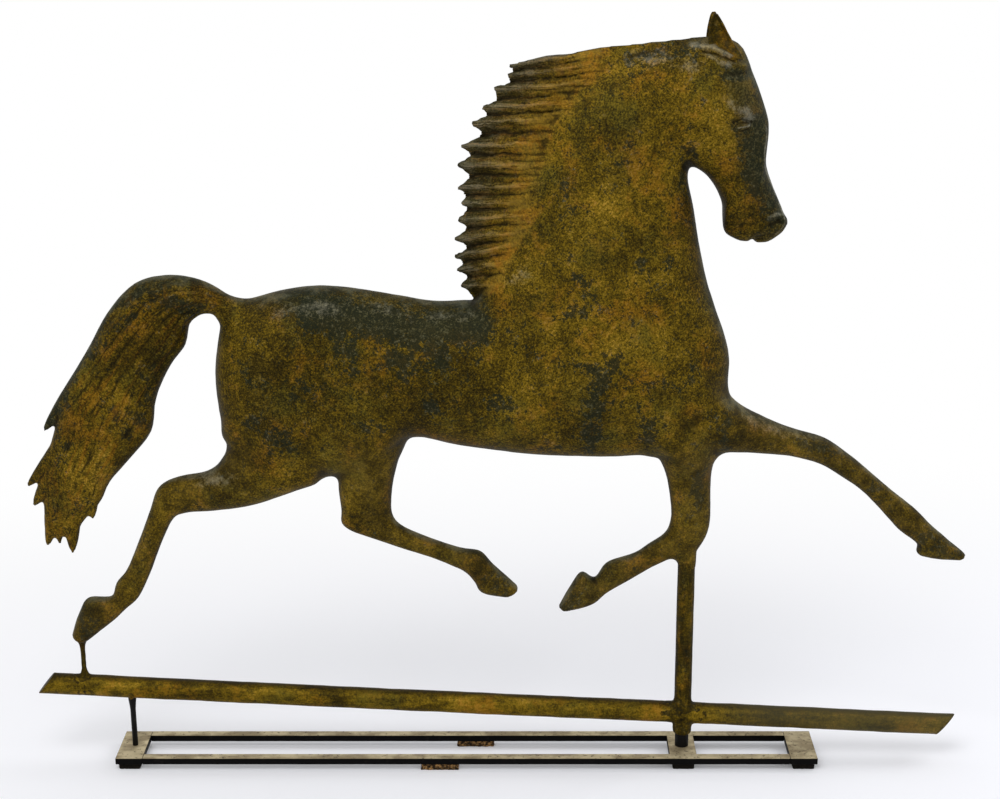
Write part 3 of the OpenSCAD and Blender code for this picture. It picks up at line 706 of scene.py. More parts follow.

# %% [markdown]
# The photograph shows where the gilding has gone. Dark patches, painted highlights and painted shade are
# drawn as short paths on the side of the horse, and the finish breaks up their borders later with noise.

# %% Mark the worn places, the painted shade and the painted highlights
# [path in millimetres, half width, strength]
dark_paths = [
    ([(-335, 446), (-290, 438), (-240, 428), (-190, 432)], 16, 1.3), ([(-310, 428), (-298, 400)], 12, 0.8),
    ([(-262, 420), (-258, 402)], 15, 0.9), ([(-228, 425), (-222, 405)], 17, 1.0),
    ([(-200, 425), (-196, 395)], 9, 0.5), ([(-234, 366), (-230, 360)], 11, 0.8),
    ([(-172, 368), (-168, 362)], 12, 0.7), ([(-72, 402), (-80, 388), (-91, 345), (-90, 318)], 9, 0.9),
    ([(-122, 404), (-96, 399), (-70, 395)], 4.5, 0.7), ([(-70, 390), (-40, 383), (-8, 378)], 6, 0.45),
    ([(-102, 358), (-98, 350)], 6, 0.6), ([(-46, 364), (-45, 352)], 5, 0.5),
    ([(-30, 492), (-18, 488)], 4, 0.7), ([(-50, 492), (-44, 482)], 6, 0.5),
    ([(-105, 478), (-98, 470)], 7, 0.6), ([(-112, 452), (-100, 446)], 8, 0.6),
    ([(48, 645), (59, 606), (57, 575), (62, 552), (77, 520)], 8, 0.8),
    ([(-466, 468), (-514, 444), (-556, 376), (-578, 332)], 9, 0.75), ([(-40, 345), (-38, 325)], 10, 0.75),
    ([(49, 608), (49, 585), (47, 555)], 10, 1.1), ([(38, 594), (42, 560)], 8, 0.7),
    ([(22, 648), (42, 649)], 7, 0.8), ([(46, 640), (52, 620)], 6, 0.6), ([(50, 558), (60, 538)], 6, 0.6),
    ([(27, 608), (34, 612), (41, 609)], 2.4, 0.8), ([(28, 602), (37, 600)], 3, 0.6),
    ([(-60, 600), (-75, 560)], 10, 0.35), ([(-120, 560), (-110, 530)], 9, 0.35),
    ([(-95, 470), (-90, 455)], 8, 0.45), ([(-10, 400), (6, 380)], 9, 0.4),
    ([(-150, 420), (-145, 405)], 10, 0.4), ([(-340, 380), (-352, 366)], 11, 0.4),
    ([(-300, 350), (-285, 342)], 12, 0.45), ([(-395, 405), (-388, 380)], 7, 0.5),
    ([(-520, 360), (-506, 330)], 9, 0.55), ([(-560, 320), (-572, 300)], 8, 0.5),
    ([(-545, 268), (-556, 252)], 7, 0.5), ([(-13, 580), (-10, 574)], 10, 0.7),
    ([(-16, 562), (-8, 540), (3, 500)], 6, 0.7), ([(-371, 331), (-360, 328)], 12, 0.8),
    ([(-388, 350), (-380, 344)], 11, 0.6), ([(-436, 446), (-470, 455)], 8, 0.8),
    ([(-479, 386), (-494, 340)], 9, 0.6), ([(-490, 440), (-520, 420), (-538, 396)], 6, 0.7),
    ([(-135, 322), (-130, 318)], 9, 0.5), ([(7, 290), (8, 262)], 8, 0.8),
    ([(-175, 186), (-168, 172)], 9, 0.7), ([(-556, 150), (-556, 135)], 12, 0.6),
    ([(-140, 396), (-136, 385)], 10, 0.4), ([(248, 206), (214, 222)], 9, 0.6),
    ([(168, 272), (180, 262)], 8, 0.6), ([(100, 318), (140, 303)], 5, 0.6),
    ([(24, 345), (30, 312)], 9, 0.6), ([(-108, 165), (-112, 155)], 8, 0.6),
    ([(-30, 470), (-50, 455)], 12, 0.35), ([(-8, 668), (-30, 664), (-60, 656)], 8, 0.45),
    ([(56, 532), (64, 522)], 6, 0.6),
]
# Painted highlights and sheen: back, brow, eye, folds below the ear, front rim of the face, muzzle and more
highlight_paths = [
    ([(-366, 444), (-345, 449), (-312, 448)], 8, 0.38), ([(-300, 450), (-250, 443), (-190, 441)], 6, 0.28),
    ([(25, 623), (35, 618), (40, 612)], 5.5, 0.6), ([(30.2, 604.8), (37.7, 605.5), (40, 606.6)], 0.9, 0.8),
    ([(-8, 671), (9, 670), (15, 667), (22.5, 664.2)], 2.8, 0.8),
    ([(2, 665), (13, 659), (22.6, 655.2)], 2.8, 0.5),
    ([(54.4, 606.8), (56.6, 600.8), (56.6, 591.8), (54.7, 582.2), (55.5, 570.3), (59.7, 558.7), (67.1, 543.8)],
     0.9, 0.9),
    ([(67.1, 543.8), (74.5, 525.1), (75.5, 519.5), (72.1, 514.9), (67.3, 509.3)], 0.9, 0.7),
    ([(60.5, 524), (63, 527.5), (69, 528)], 2.0, 0.4), ([(-60, 662), (-30, 660), (-6, 655)], 7, 0.5),
    ([(-160, 472), (-150, 480)], 8, 0.5), ([(45, 345), (70, 330), (110, 320)], 5, 0.3),
    ([(-440, 285), (-415, 288)], 7, 0.5),
]
deep_paths = [
    ([(-400, 400), (-330, 330)], 60, 0.6), ([(-250, 330), (-100, 318)], 32, 0.9),
    ([(20, 440), (10, 330)], 40, 0.9), ([(-420, 300), (-560, 140)], 30, 0.2),
    ([(-300, 280), (-160, 170)], 30, 0.4), ([(0, 290), (-110, 160)], 30, 0.7),
    ([(80, 325), (250, 205)], 30, 0.6), ([(45, 620), (55, 530)], 16, 1.0),
    ([(-470, 450), (-550, 240)], 50, 0.35),
]
shade_paths = [
    ([(42, 660), (52, 628), (55, 600), (52, 575), (58, 548), (71, 526)], 10, 1.0),
    ([(28, 607), (42, 604)], 7, 0.9), ([(28, 648), (37, 624), (40, 600), (43, 575)], 13, 0.95),
    ([(40, 594), (40, 566)], 9, 0.6), ([(-10, 575), (6, 567), (19, 552)], 6, 0.4),
    ([(50, 504), (62, 510), (72, 516)], 9, 0.7), ([(64, 517.5), (69, 520.5)], 3.2, 1.1),
    ([(24, 655), (44, 650)], 7, 0.7), ([(-352, 452), (-300, 447), (-240, 437), (-190, 440)], 15, 0.8),
    ([(-440, 472), (-480, 466), (-516, 443), (-557, 375), (-578, 332)], 7, 0.75),
    ([(3, 520), (10, 470), (25, 420), (34, 370)], 6, 0.5), ([(-424, 400), (-420, 310)], 6, 0.4),
    ([(-60, 605), (-72, 560)], 14, 0.35), ([(-115, 565), (-105, 530)], 12, 0.3),
    ([(-18, 560), (-6, 520), (2, 480)], 7, 0.4), ([(-385, 400), (-372, 352)], 14, 0.3),
    ([(-90, 395), (-92, 330)], 12, 0.3), ([(-500, 350), (-484, 330)], 9, 0.4),
    ([(15, 330), (10, 250)], 10, 0.35), ([(-290, 300), (-290, 250)], 14, 0.3),
]
bright_paths = [
    ([(-112, 622), (-120, 590), (-146, 545)], 7, 0.8), ([(-168, 463), (-156, 474)], 7, 1.0),
    ([(-92, 506), (-75, 528)], 22, 0.7), ([(-8, 640), (10, 600), (22, 585)], 20, 0.8),
    ([(20, 556), (40, 530)], 12, 0.7), ([(-510, 360), (-552, 262)], 20, 0.9),
    ([(-300, 390), (-350, 380)], 26, 0.4), ([(-220, 345), (-160, 345)], 18, 0.5),
    ([(-240, 232), (-220, 226)], 9, 0.7), ([(-60, 440), (-20, 420)], 28, 0.4),
    ([(-360, 300), (-340, 305)], 18, 0.5), ([(15, 682), (17, 672)], 5, 0.8),
]
calm_paths = [
    ([(-420, 300), (-500, 280), (-520, 200), (-556, 140)], 30, 1.0),
    ([(-290, 300), (-270, 255), (-160, 175)], 30, 1.0), ([(5, 300), (5, 230), (-110, 160)], 30, 1.0),
    ([(60, 340), (140, 300), (250, 205)], 30, 1.0), ([(30, 650), (45, 600), (50, 550), (70, 520)], 18, 0.3),
]


def painted(paths):
    """The strongest of soft strokes along paths, from nought to one."""
    total = np.zeros(len(flat))
    for path, width, strength in paths:
        total = np.maximum(total, strength * soft_stroke(path, width))
    return total


# Painted sheen on the edges that turn upwards and painted shade on those that turn downwards
turned_away = np.clip((0.8 - np.abs(normals[:, 1])) / 0.6, 0, 1)
keep(skin, "dark", painted(dark_paths))
keep(skin, "pale", painted(highlight_paths))
keep(skin, "shade", painted(shade_paths))
keep(skin, "bright", painted(bright_paths) - painted(deep_paths))
keep(skin, "calm", painted(calm_paths))
keep(skin, "over", turned_away * np.clip(normals[:, 2] * 2 + 0.2, 0, 1))
keep(skin, "under", turned_away * np.clip(0.9 - normals[:, 2] * 2, 0, 1))

# %% [markdown]
# The skin is now cut where the real halves meet: along the middle plane, and along the offset planes of
# the two legs that stand off it. Each part becomes a piece of its own that stands for its node.

# %% Cut the skin into its soldered parts
MIDDLE_LEG = LEG_SPREAD * MM


def all_of(bm):
    """Every point, edge and face of a bmesh."""
    return bm.verts[:] + bm.edges[:] + bm.faces[:]


# First the middle plane cuts everything, then each leg's own plane cuts only that leg
cut = bmesh.new()
cut.from_mesh(skin)
bmesh.ops.bisect_plane(cut, geom=all_of(cut), plane_co=(0, 0, 0), plane_no=(0, 1, 0))
off_planes = {"left_foreleg": MIDDLE_LEG, "right_hind_leg": -MIDDLE_LEG}
for part, plane in off_planes.items():
    cut.faces.ensure_lookup_table()
    middles = np.array([face.calc_center_median()[:] for face in cut.faces])[:, [0, 2]] / MM
    inside = [cut.faces[i] for i in np.flatnonzero(part_numbers(middles) == parts.index(part))]
    edges = list({edge for face in inside for edge in face.edges})
    verts = list({vert for face in inside for vert in face.verts})
    bmesh.ops.bisect_plane(cut, geom=verts + edges + inside, plane_co=(0, plane, 0), plane_no=(0, 1, 0))
bmesh.ops.triangulate(cut, faces=[face for face in cut.faces if len(face.verts) > 4])
skin_cut = finished_mesh("skin_cut", cut)
print(len(skin_cut.polygons), "faces after the cuts")

# %% [markdown]
# Mane and neck share one surface, so the border between them follows the roots of the locks.

# %% Sort the faces and separate them
centres = np.empty(len(skin_cut.polygons) * 3)
skin_cut.polygons.foreach_get("center", centres)
centres = centres.reshape(-1, 3)
side_flat = centres[:, [0, 2]] / MM
part_number = part_numbers(side_flat)
mane_face = (part_number == 0) & (side_flat[:, 1] > 455) & (side_flat[:, 0] < 4)
place, share, off = strip_place(side_flat[mane_face], mane_roots, mane_tips)
chosen = np.flatnonzero(mane_face)[(share > 0) & (share < 1.6) & (off < 4)]
part_number[chosen] = parts.index("mane")
plane_of = np.array([off_planes.get(part, 0) for part in parts])[part_number]
half_number = (centres[:, 1] > plane_of).astype(int)

half_names = {
    "body": ("body_right", "body_left"), "mane": ("mane_right", "mane_left"),
    "tail": ("tail_right", "tail_left"),
    "right_foreleg": ("right_foreleg_outer", "right_foreleg_inner"),
    "left_foreleg": ("left_foreleg_inner", "left_foreleg_outer"),
    "right_hind_leg": ("right_hind_leg_outer", "right_hind_leg_inner"),
    "left_hind_leg": ("left_hind_leg_inner", "left_hind_leg_outer"),
}
labels = [half_names[part][half] for part in parts for half in (0, 1)]
for label in labels:
    skin_cut.materials.append(bpy.data.materials.new("sort_" + label))
skin_cut.polygons.foreach_set("material_index", (part_number * 2 + half_number).astype(np.int32))
whole = bpy.data.objects.new("horse", skin_cut)
scene.collection.objects.link(whole)
bpy.context.view_layer.objects.active = whole
whole.select_set(True)
bpy.ops.object.mode_set(mode="EDIT")
bpy.ops.mesh.select_all(action="SELECT")
bpy.ops.mesh.separate(type="MATERIAL")
bpy.ops.object.mode_set(mode="OBJECT")

# %% [markdown]
# Each half is still a surface without thickness. Solidify gives it the wall of a pressed sheet, inwards
# from the outer skin. Nobody looks inside, so the inner wall is thinned to fewer faces.

# %% Give each half its wall
SHEET = 0.9 * MM
INNER_RATIO = 0.6
CREASE = math.radians(55)
gilt_pieces = {}
for piece in [o for o in scene.objects if o.type == "MESH" and o.name.startswith("horse")]:
    label = piece.data.materials[piece.data.polygons[0].material_index].name.removeprefix("sort_")
    inner = piece.vertex_groups.new(name="inner")
    wall = piece.modifiers.new("wall", "SOLIDIFY")
    wall.thickness, wall.offset, wall.shell_vertex_group = SHEET, -1, inner.name
    thin = piece.modifiers.new("thin", "DECIMATE")
    thin.ratio, thin.vertex_group, thin.invert_vertex_group = INNER_RATIO, inner.name, True
    mesh = bpy.data.meshes.new_from_object(piece.evaluated_get(bpy.context.evaluated_depsgraph_get()))
    mesh.name = label
    piece.modifiers.clear()
    piece.data = mesh
    piece.name = "gilt_" + label
    mesh.materials.clear()
    mesh.shade_smooth()
    mesh.set_sharp_from_angle(angle=CREASE)
    gilt_pieces[label] = piece
    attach(piece, "vane")
    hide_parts(label)
print({label: sum(len(face.vertices) - 2 for face in piece.data.polygons)
       for label, piece in gilt_pieces.items()})

# %% [markdown]
# Every other piece goes in the same way: it rides one body and stands for its nodes. So
# a helper says that once, and a second one serves the gilt pieces.

# %% Helpers for the other pieces


def soft_edges(width, segments=2):
    """A bevel of this width in millimetres on all sharp edges."""
    return "BEVEL", {"width": width * MM, "segments": segments, "limit_method": "ANGLE"}


def add_piece(name, mesh, body_name, slot_name, *nodes):
    """Puts a finished mesh into the scene as a piece of its body that stands for these nodes."""
    piece = bpy.data.objects.new(name, mesh)
    scene.collection.objects.link(piece)
    mesh.shade_smooth()
    mesh.set_sharp_from_angle(angle=CREASE)
    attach(piece, body_name)
    if nodes:
        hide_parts(*nodes)
    return piece


def add_gilt(label, mesh):
    """Adds a gilt piece of the vane that stands for the node with this label."""
    return add_piece("gilt_" + label, mesh, "vane", "patinated_copper", label)


# %% [markdown]
# An ear is a pointed leaf of sheet copper, cupped so that its hollow looks outwards. A cone would look
# like a spike; a grid that is narrowed to a leaf, bent and given a wall keeps the thin rim.

# %% Ears
# Rear edge, front edge and the height of both, from the foot to the tip, in millimetres
ear_rows = [
    (7.0, 34, 660, 661), (5.4, 30, 671, 668.5), (5.2, 24.6, 678, 675.5), (6.0, 20.4, 685, 682.5),
    (7.2, 17.0, 691, 689), (8.2, 13.8, 695, 694), (9.4, 11.6, 697.3, 697.3),
]
EAR_SIDE = [15.5, 13, 10.2, 9.6, 9.8, 10.2, 10.4]
EAR_HOLLOW = [1.5, 3.2, 4.6, 4.2, 3.2, 2, 0.6]
EAR_SHEET = 1.5 * MM


def ear_mesh(name, side):
    """One ear on its side of the head."""
    bm = bmesh.new()
    bmesh.ops.create_grid(bm, x_segments=14, y_segments=20, size=1)
    steps = range(len(ear_rows))
    for vert in bm.verts:
        across, up = vert.co.x, (vert.co.y + 1) / 2 * (len(ear_rows) - 1)
        rear, front, rear_z, front_z = (np.interp(up, steps, column) for column in zip(*ear_rows))
        share = (across + 1) / 2
        x = rear + (front - rear) * share
        z = rear_z + (front_z - rear_z) * share
        cup = np.interp(up, steps, EAR_HOLLOW) * (1 - across * across)
        y = side * (np.interp(up, steps, EAR_SIDE) - cup + 1.0 * (across < 0) * across)
        vert.co = Vector((x, y, z)) * MM
    bmesh.ops.recalc_face_normals(bm, faces=bm.faces)
    return finished_mesh(name, bm, ("SOLIDIFY", {"thickness": EAR_SHEET, "offset": 0}), soft_edges(0.45),
                         ("SUBSURF", {"levels": 1, "render_levels": 1}))


gilt_ears = [add_gilt(label, ear_mesh(label, side)) for label, side in (("ear_right", -1), ("ear_left", 1))]
print(len(gilt_ears), "ears of", len(ear_rows), "rows")

# %% [markdown]
# The rod is a drawn tube with slanted ends, each closed by a thin disc. It could be one cylinder, but the
# long highlight on a real tube wavers, so its side is divided and dented very slightly.

# %% Rod and its end discs
ROD_RADIUS = 10
ROD_WALL = 1.2 * MM
ROD_REAR, ROD_FRONT = -601, 249.5
CAP = 1
ROD_CUT = math.radians(36)
ROD_HEIGHT = 46.7
ROD_TILT = math.radians(3)
ROD_TURN = Matrix.Translation((0, 0, ROD_HEIGHT * MM)) @ Matrix.Rotation(ROD_TILT, 4, "Y")
SAG, SAG_LENGTH = 0.6, 600
EXTRA_TILT = 0.0013
# The cylinder starts longer, so that the slanted cuts have something to take away
SPARE = 60
# The front end is cut a little askew, so that its rim looks straight in the photograph
FRONT_SKEW = 0.43
rear_cut = Vector((math.cos(ROD_CUT), 0, -math.sin(ROD_CUT)))
front_cut = Vector((math.cos(ROD_CUT), -FRONT_SKEW * math.cos(ROD_CUT), -math.sin(ROD_CUT)))


def dent(bm, amount, scale, seed=0.0):
    """Moves every point a little along its normal, by smooth noise."""
    bm.normal_update()
    for vert in bm.verts:
        vert.co += vert.normal * amount * MM * noise.noise(vert.co * scale + Vector((seed, seed, seed)))


def sag(bm):
    """Lets the rod hang a little between the strut and the tube, as the long real one does."""
    for vert in bm.verts:
        x = vert.co.x / MM
        vert.co.z += (x * EXTRA_TILT - SAG * math.sin(math.pi * min(1, max(0, -x / SAG_LENGTH)))) * MM


def rod_part(start, end, capped, cuts, slants=(rear_cut, front_cut)):
    """A length of rod along X between two slanted cuts."""
    bm = bmesh.new()
    bmesh.ops.create_cone(bm, segments=64, radius1=ROD_RADIUS * MM, radius2=ROD_RADIUS * MM,
                          depth=(end - start + SPARE) * MM, cap_ends=capped)
    sides = [edge for edge in bm.edges if abs((edge.verts[0].co - edge.verts[1].co).z) > 1 * MM]
    if cuts:
        bmesh.ops.subdivide_edges(bm, edges=sides, cuts=cuts, use_grid_fill=True)
    bmesh.ops.rotate(bm, verts=bm.verts, matrix=Matrix.Rotation(math.pi / 2, 3, "Y"))
    bmesh.ops.translate(bm, verts=bm.verts, vec=((start + end) / 2 * MM, 0, 0))
    for place, slant in ((start, -slants[0]), (end, slants[1])):
        done = bmesh.ops.bisect_plane(bm, geom=all_of(bm), plane_co=(place * MM, 0, 0), plane_no=slant,
                                      clear_outer=True)
        if capped:
            rim = [part for part in done["geom_cut"] if isinstance(part, bmesh.types.BMEdge)]
            bmesh.ops.holes_fill(bm, edges=rim, sides=0)
    bmesh.ops.recalc_face_normals(bm, faces=bm.faces)
    return bm


rod = rod_part(ROD_REAR + CAP, ROD_FRONT - CAP, capped=False, cuts=140)
dent(rod, 0.35, 45)
dent(rod, 0.16, 160, seed=4)
bmesh.ops.transform(rod, matrix=ROD_TURN, verts=rod.verts)
sag(rod)
rod_mesh = finished_mesh("rod", rod, ("SOLIDIFY", {"thickness": ROD_WALL, "offset": -1}))
rod_pieces = [add_gilt("rod", rod_mesh)]
for label, start, end, slant in (("rod_cap_rear", ROD_REAR, ROD_REAR + CAP, rear_cut),
                                 ("rod_cap_front", ROD_FRONT - CAP, ROD_FRONT, front_cut)):
    cap = rod_part(start, end, capped=True, cuts=0, slants=(slant, slant))
    bmesh.ops.transform(cap, matrix=ROD_TURN, verts=cap.verts)
    sag(cap)
    rod_pieces.append(add_gilt(label, finished_mesh(label, cap, soft_edges(0.35, segments=3))))
print("rod from", ROD_REAR, "to", ROD_FRONT, "mm along its own axis")

# %% [markdown]
# The spindle tube, the strut and the prop are turned parts, so each one is a profile spun round its axis.

# %% Tube, strut and prop


def turned(profile, steps=48, closed=False, at=(0, 0)):
    """Spins a profile of [radius, height] in millimetres round an upright axis."""
    bm = bmesh.new()
    verts = [bm.verts.new((radius * MM, 0, height * MM)) for radius, height in profile]
    edges = [bm.edges.new(pair) for pair in zip(verts, verts[1:])]
    if closed:
        edges.append(bm.edges.new((verts[-1], verts[0])))
    bmesh.ops.spin(bm, geom=verts + edges, axis=(0, 0, 1), cent=(0, 0, 0), angle=math.tau, steps=steps,
                   use_merge=True)
    bmesh.ops.remove_doubles(bm, verts=bm.verts, dist=0.001 * MM)
    bmesh.ops.translate(bm, verts=bm.verts, vec=(at[0] * MM, at[1] * MM, 0))
    bmesh.ops.recalc_face_normals(bm, faces=bm.faces)
    return bm


def steps_up(radius, low, high, count):
    """Points of a profile on a straight side."""
    return [(radius, low + (high - low) * i / count) for i in range(count + 1)]


TUBE_RADIUS, TUBE_BORE = 8, 6.5
# In the photograph the strut and the prop stand a hair further forward than in the construction
FORWARD_STRUT, FORWARD_PROP = 0.5, 1.3
TUBE_LOW, TUBE_TOP = 26.7, 296.7
tube_side = steps_up(TUBE_RADIUS, TUBE_LOW, TUBE_TOP, 90)
tube_profile = [(TUBE_BORE, TUBE_LOW), *tube_side, (TUBE_BORE, TUBE_TOP)]
tube = turned(tube_profile, closed=True)
# The lower rim is sawn a little unevenly
for vert in tube.verts:
    if vert.co.z < (TUBE_LOW + 0.5) * MM:
        vert.co.z += 0.7 * MM * noise.noise(vert.co * 320)
dent(tube, 0.22, 60)
tube_piece = add_gilt("spindle_tube", finished_mesh("spindle_tube", tube))

strut_low, strut_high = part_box("hoof_strut")
strut_x = (strut_low.x + strut_high.x) / 2 / MM + FORWARD_STRUT
strut_foot, strut_top = strut_low.z / MM - 3, strut_high.z / MM
strut_profile = [(0, strut_foot), (2.3, strut_foot), *steps_up(2.2, strut_foot + 1, strut_top - 12, 24),
                 (2.4, strut_top - 9), (2.9, strut_top - 6.5), (3.9, strut_top - 4), (5.2, strut_top - 2),
                 (5.6, strut_top), (0, strut_top)]
strut = turned(strut_profile, steps=32, at=(strut_x, 0))
dent(strut, 0.25, 170)
strut_piece = add_gilt("hoof_strut", finished_mesh("hoof_strut", strut))

prop_low, prop_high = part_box("rear_prop")
prop_x = (prop_low.x + prop_high.x) / 2 / MM + FORWARD_PROP
prop_top, prop_foot = prop_high.z / MM, prop_low.z / MM
prop_profile = [(0, prop_foot), (2.6, prop_foot), (2.6, prop_top - 13), (2.8, prop_top - 11.5),
                (3.1, prop_top - 8), (3.7, prop_top - 3), (3.8, prop_top - 1), (3.5, prop_top - 0.3),
                (2.9, prop_top), (1.6, prop_top), (1.2, prop_top - 1.5), (0, prop_top - 2)]
prop = finished_mesh("rear_prop", turned(prop_profile, steps=40, at=(prop_x, 0)), soft_edges(0.2))
prop_piece = add_piece("black_rear_prop", prop, "stand", "black_steel", "rear_prop")
print("tube from", TUBE_LOW, "to", TUBE_TOP, "mm, strut to", round(strut_top, 1), "mm")

# %% [markdown]
# Solder creeps into a joint and leaves a smooth hollow flare. A ring with a drawn section would miss the
# saddle where two tubes cross. So the two tubes are joined by a fine remesh and softened until the
# corner fills, and only the flare then stands proud of the tubes.

# %% Solder where the tube and the strut meet the rod
SOLDER_VOXEL = 0.7 * MM
SOLDER_SOFTENING = 70
SLEEVED_ROD = ROD_RADIUS + 0.2


def cross_joint(name, at, radii, low, high, reach):
    """The softened skin of an upright and the rod where they cross."""
    bm = bmesh.new()
    upright_part = bmesh.ops.create_cone(bm, segments=48, radius1=radii[0] * MM, radius2=radii[1] * MM,
                                         depth=(high - low) * MM, cap_ends=True)["verts"]
    bmesh.ops.translate(bm, verts=upright_part, vec=(at[0] * MM, 0, (low + high) / 2 * MM))
    across = bmesh.ops.create_cone(bm, segments=64, radius1=SLEEVED_ROD * MM, radius2=SLEEVED_ROD * MM,
                                   depth=2 * reach * MM, cap_ends=True)["verts"]
    turn = ROD_TURN.to_3x3() @ Matrix.Rotation(math.pi / 2, 3, "Y")
    bmesh.ops.rotate(bm, verts=across, matrix=turn)
    bmesh.ops.translate(bm, verts=across, vec=(at[0] * MM, 0, at[1] * MM))
    bmesh.ops.recalc_face_normals(bm, faces=bm.faces)
    mesh = finished_mesh(name, bm, ("REMESH", {"mode": "VOXEL", "voxel_size": SOLDER_VOXEL}))
    soft = bmesh.new()
    soft.from_mesh(mesh)
    for _ in range(SOLDER_SOFTENING):
        bmesh.ops.smooth_vert(soft, verts=soft.verts, factor=0.5, use_axis_x=True, use_axis_y=True,
                              use_axis_z=True)
    dent(soft, 0.35, 210, seed=2)
    return finished_mesh(name, soft)


tube_solder = add_gilt("tube_solder", cross_joint("tube_solder", (0, ROD_HEIGHT), (9.3, 8.1), 25, 76, 26))
rod_z = ROD_HEIGHT - (strut_x - FORWARD_STRUT) * math.tan(ROD_TILT)
strut_joint = cross_joint("strut_solder", (strut_x, rod_z - 0.7), (5.8, 1.6), rod_z, rod_z + 26, 14)
strut_solder = add_gilt("strut_solder", strut_joint)

# A spilt drop of solder on the rod above the prop
dab = bmesh.new()
bmesh.ops.create_icosphere(dab, subdivisions=4, radius=1)
bmesh.ops.scale(dab, verts=dab.verts, vec=Vector((2.8, 2.0, 3.6)) * MM)
dent(dab, 0.8, 420)
dab_place = ROD_TURN @ Matrix.Translation(Vector((-519.5, -8.9, -4.6)) * MM)
bmesh.ops.transform(dab, matrix=dab_place, verts=dab.verts)
sag(dab)
dab_piece = add_piece("gilt_rod_dab", finished_mesh("rod_dab", dab), "vane", "patinated_copper")
print([(piece.name, len(piece.data.polygons)) for piece in (tube_solder, strut_solder, dab_piece)])

# %% [markdown]
# The stand is flat bar, sawn and ground. A ground edge is never sharp, so each bar gets a small bevel,
# and its faces a slight unevenness that breaks up the reflection.

# %% Bars and pads of the stand


def bar_mesh(name, low, high, edge, cut_length=6, amount=0.06, scale=90):
    """A bar with ground edges that fills a box."""
    bm = bmesh.new()
    bmesh.ops.create_cube(bm, size=1)
    size = high - low
    bmesh.ops.scale(bm, verts=bm.verts, vec=size)
    bmesh.ops.translate(bm, verts=bm.verts, vec=(low + high) / 2)
    bmesh.ops.bevel(bm, geom=bm.edges[:], offset=edge * MM, segments=3, profile=0.5, affect="EDGES",
                    material=-1)
    for axis in range(3):
        long_edges = [edge for edge in bm.edges
                      if abs((edge.verts[0].co - edge.verts[1].co)[axis]) > cut_length * 1.5 * MM]
        if long_edges:
            cuts = int(size[axis] / (cut_length * MM))
            bmesh.ops.subdivide_edges(bm, edges=long_edges, cuts=max(1, cuts), use_grid_fill=True)
    dent(bm, amount, scale)
    bmesh.ops.recalc_face_normals(bm, faces=bm.faces)
    return finished_mesh(name, bm)


BAR_EDGE = 0.7
steel_pieces = []
for label in ("front_rail", "back_rail", "cross_plate", "rear_end_plate", "front_end_plate"):
    mesh = bar_mesh(label, *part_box(label), BAR_EDGE)
    steel_pieces.append(add_piece("steel_" + label, mesh, "stand", "stand_steel", label))


def pad_boxes(label):
    """The boxes of the separate pads in one node."""
    bm = bmesh.new()
    bm.from_mesh(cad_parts[label].data)
    bmesh.ops.remove_doubles(bm, verts=bm.verts, dist=0.01 * MM)
    left, boxes = set(bm.verts), []
    while left:
        group, edge_of_group = set(), [next(iter(left))]
        while edge_of_group:
            vert = edge_of_group.pop()
            if vert not in group:
                group.add(vert)
                edge_of_group += [edge.other_vert(vert) for edge in vert.link_edges]
        left -= group
        corners = np.array([vert.co[:] for vert in group])
        boxes.append((Vector(corners.min(0)), Vector(corners.max(0))))
    bm.free()
    return boxes


def pads(label, edge, amount, scale, inset_by):
    """One mesh with all pads of a node."""
    bm = bmesh.new()
    inset = Vector((inset_by, inset_by, 0)) * MM
    for low, high in pad_boxes(label):
        bm.from_mesh(bar_mesh(label, low + inset, high - inset, edge, 1.5, amount, scale))
    for vert in bm.verts:
        vert.co.z = max(vert.co.z, 0)
    return finished_mesh(label, bm)


# Felt is soft and set in a little from the plate's edge, cork is crumbly and as wide as the rail
felt_mesh = pads("plate_pads", edge=1.4, amount=0.25, scale=400, inset_by=1.8)
cork_mesh = pads("rail_pads", edge=0.9, amount=0.9, scale=330, inset_by=0.4)
felt_pads = add_piece("felt_plate_pads", felt_mesh, "stand", "felt", "plate_pads")
cork_pads = add_piece("cork_rail_pads", cork_mesh, "stand", "cork", "rail_pads")

# %% [markdown]
# Materials are sums of noise and masks. The class below lets such a sum be written as plain Python: each
# value is a socket, and an operator between two values adds the node that works it out.

# %% Shader sums


def srgb(*shades):
    """A colour as seen on a screen, from 0 to 255, as the linear colour that a shader takes."""
    return (*(((v / 255 + 0.055) / 1.055) ** 2.4 if v > 10 else v / 255 / 12.92 for v in shades), 1)


class Value:
    """A value on its way through a material, on which sums can be written."""

    def __init__(self, finish, socket):
        self.finish, self.socket = finish, socket

    def sum_with(self, operation, other, turned_round=False):
        pair = (other, self) if turned_round else (self, other)
        return self.finish.node("ShaderNodeMath", {"operation": operation}, dict(enumerate(pair)))

    def __add__(self, other):
        return self.sum_with("ADD", other)

    def __sub__(self, other):
        return self.sum_with("SUBTRACT", other)

    def __rsub__(self, other):
        return self.sum_with("SUBTRACT", other, turned_round=True)

    def __mul__(self, other):
        return self.sum_with("MULTIPLY", other)

    __radd__, __rmul__ = __add__, __mul__

    def most(self, other):
        return self.sum_with("MAXIMUM", other)

    def step(self, low, high):
        """Nought below low, one above high, and smooth between."""
        return self.finish.node("ShaderNodeMapRange", {"interpolation_type": "SMOOTHSTEP"},
                                {"Value": self, "From Min": low, "From Max": high})


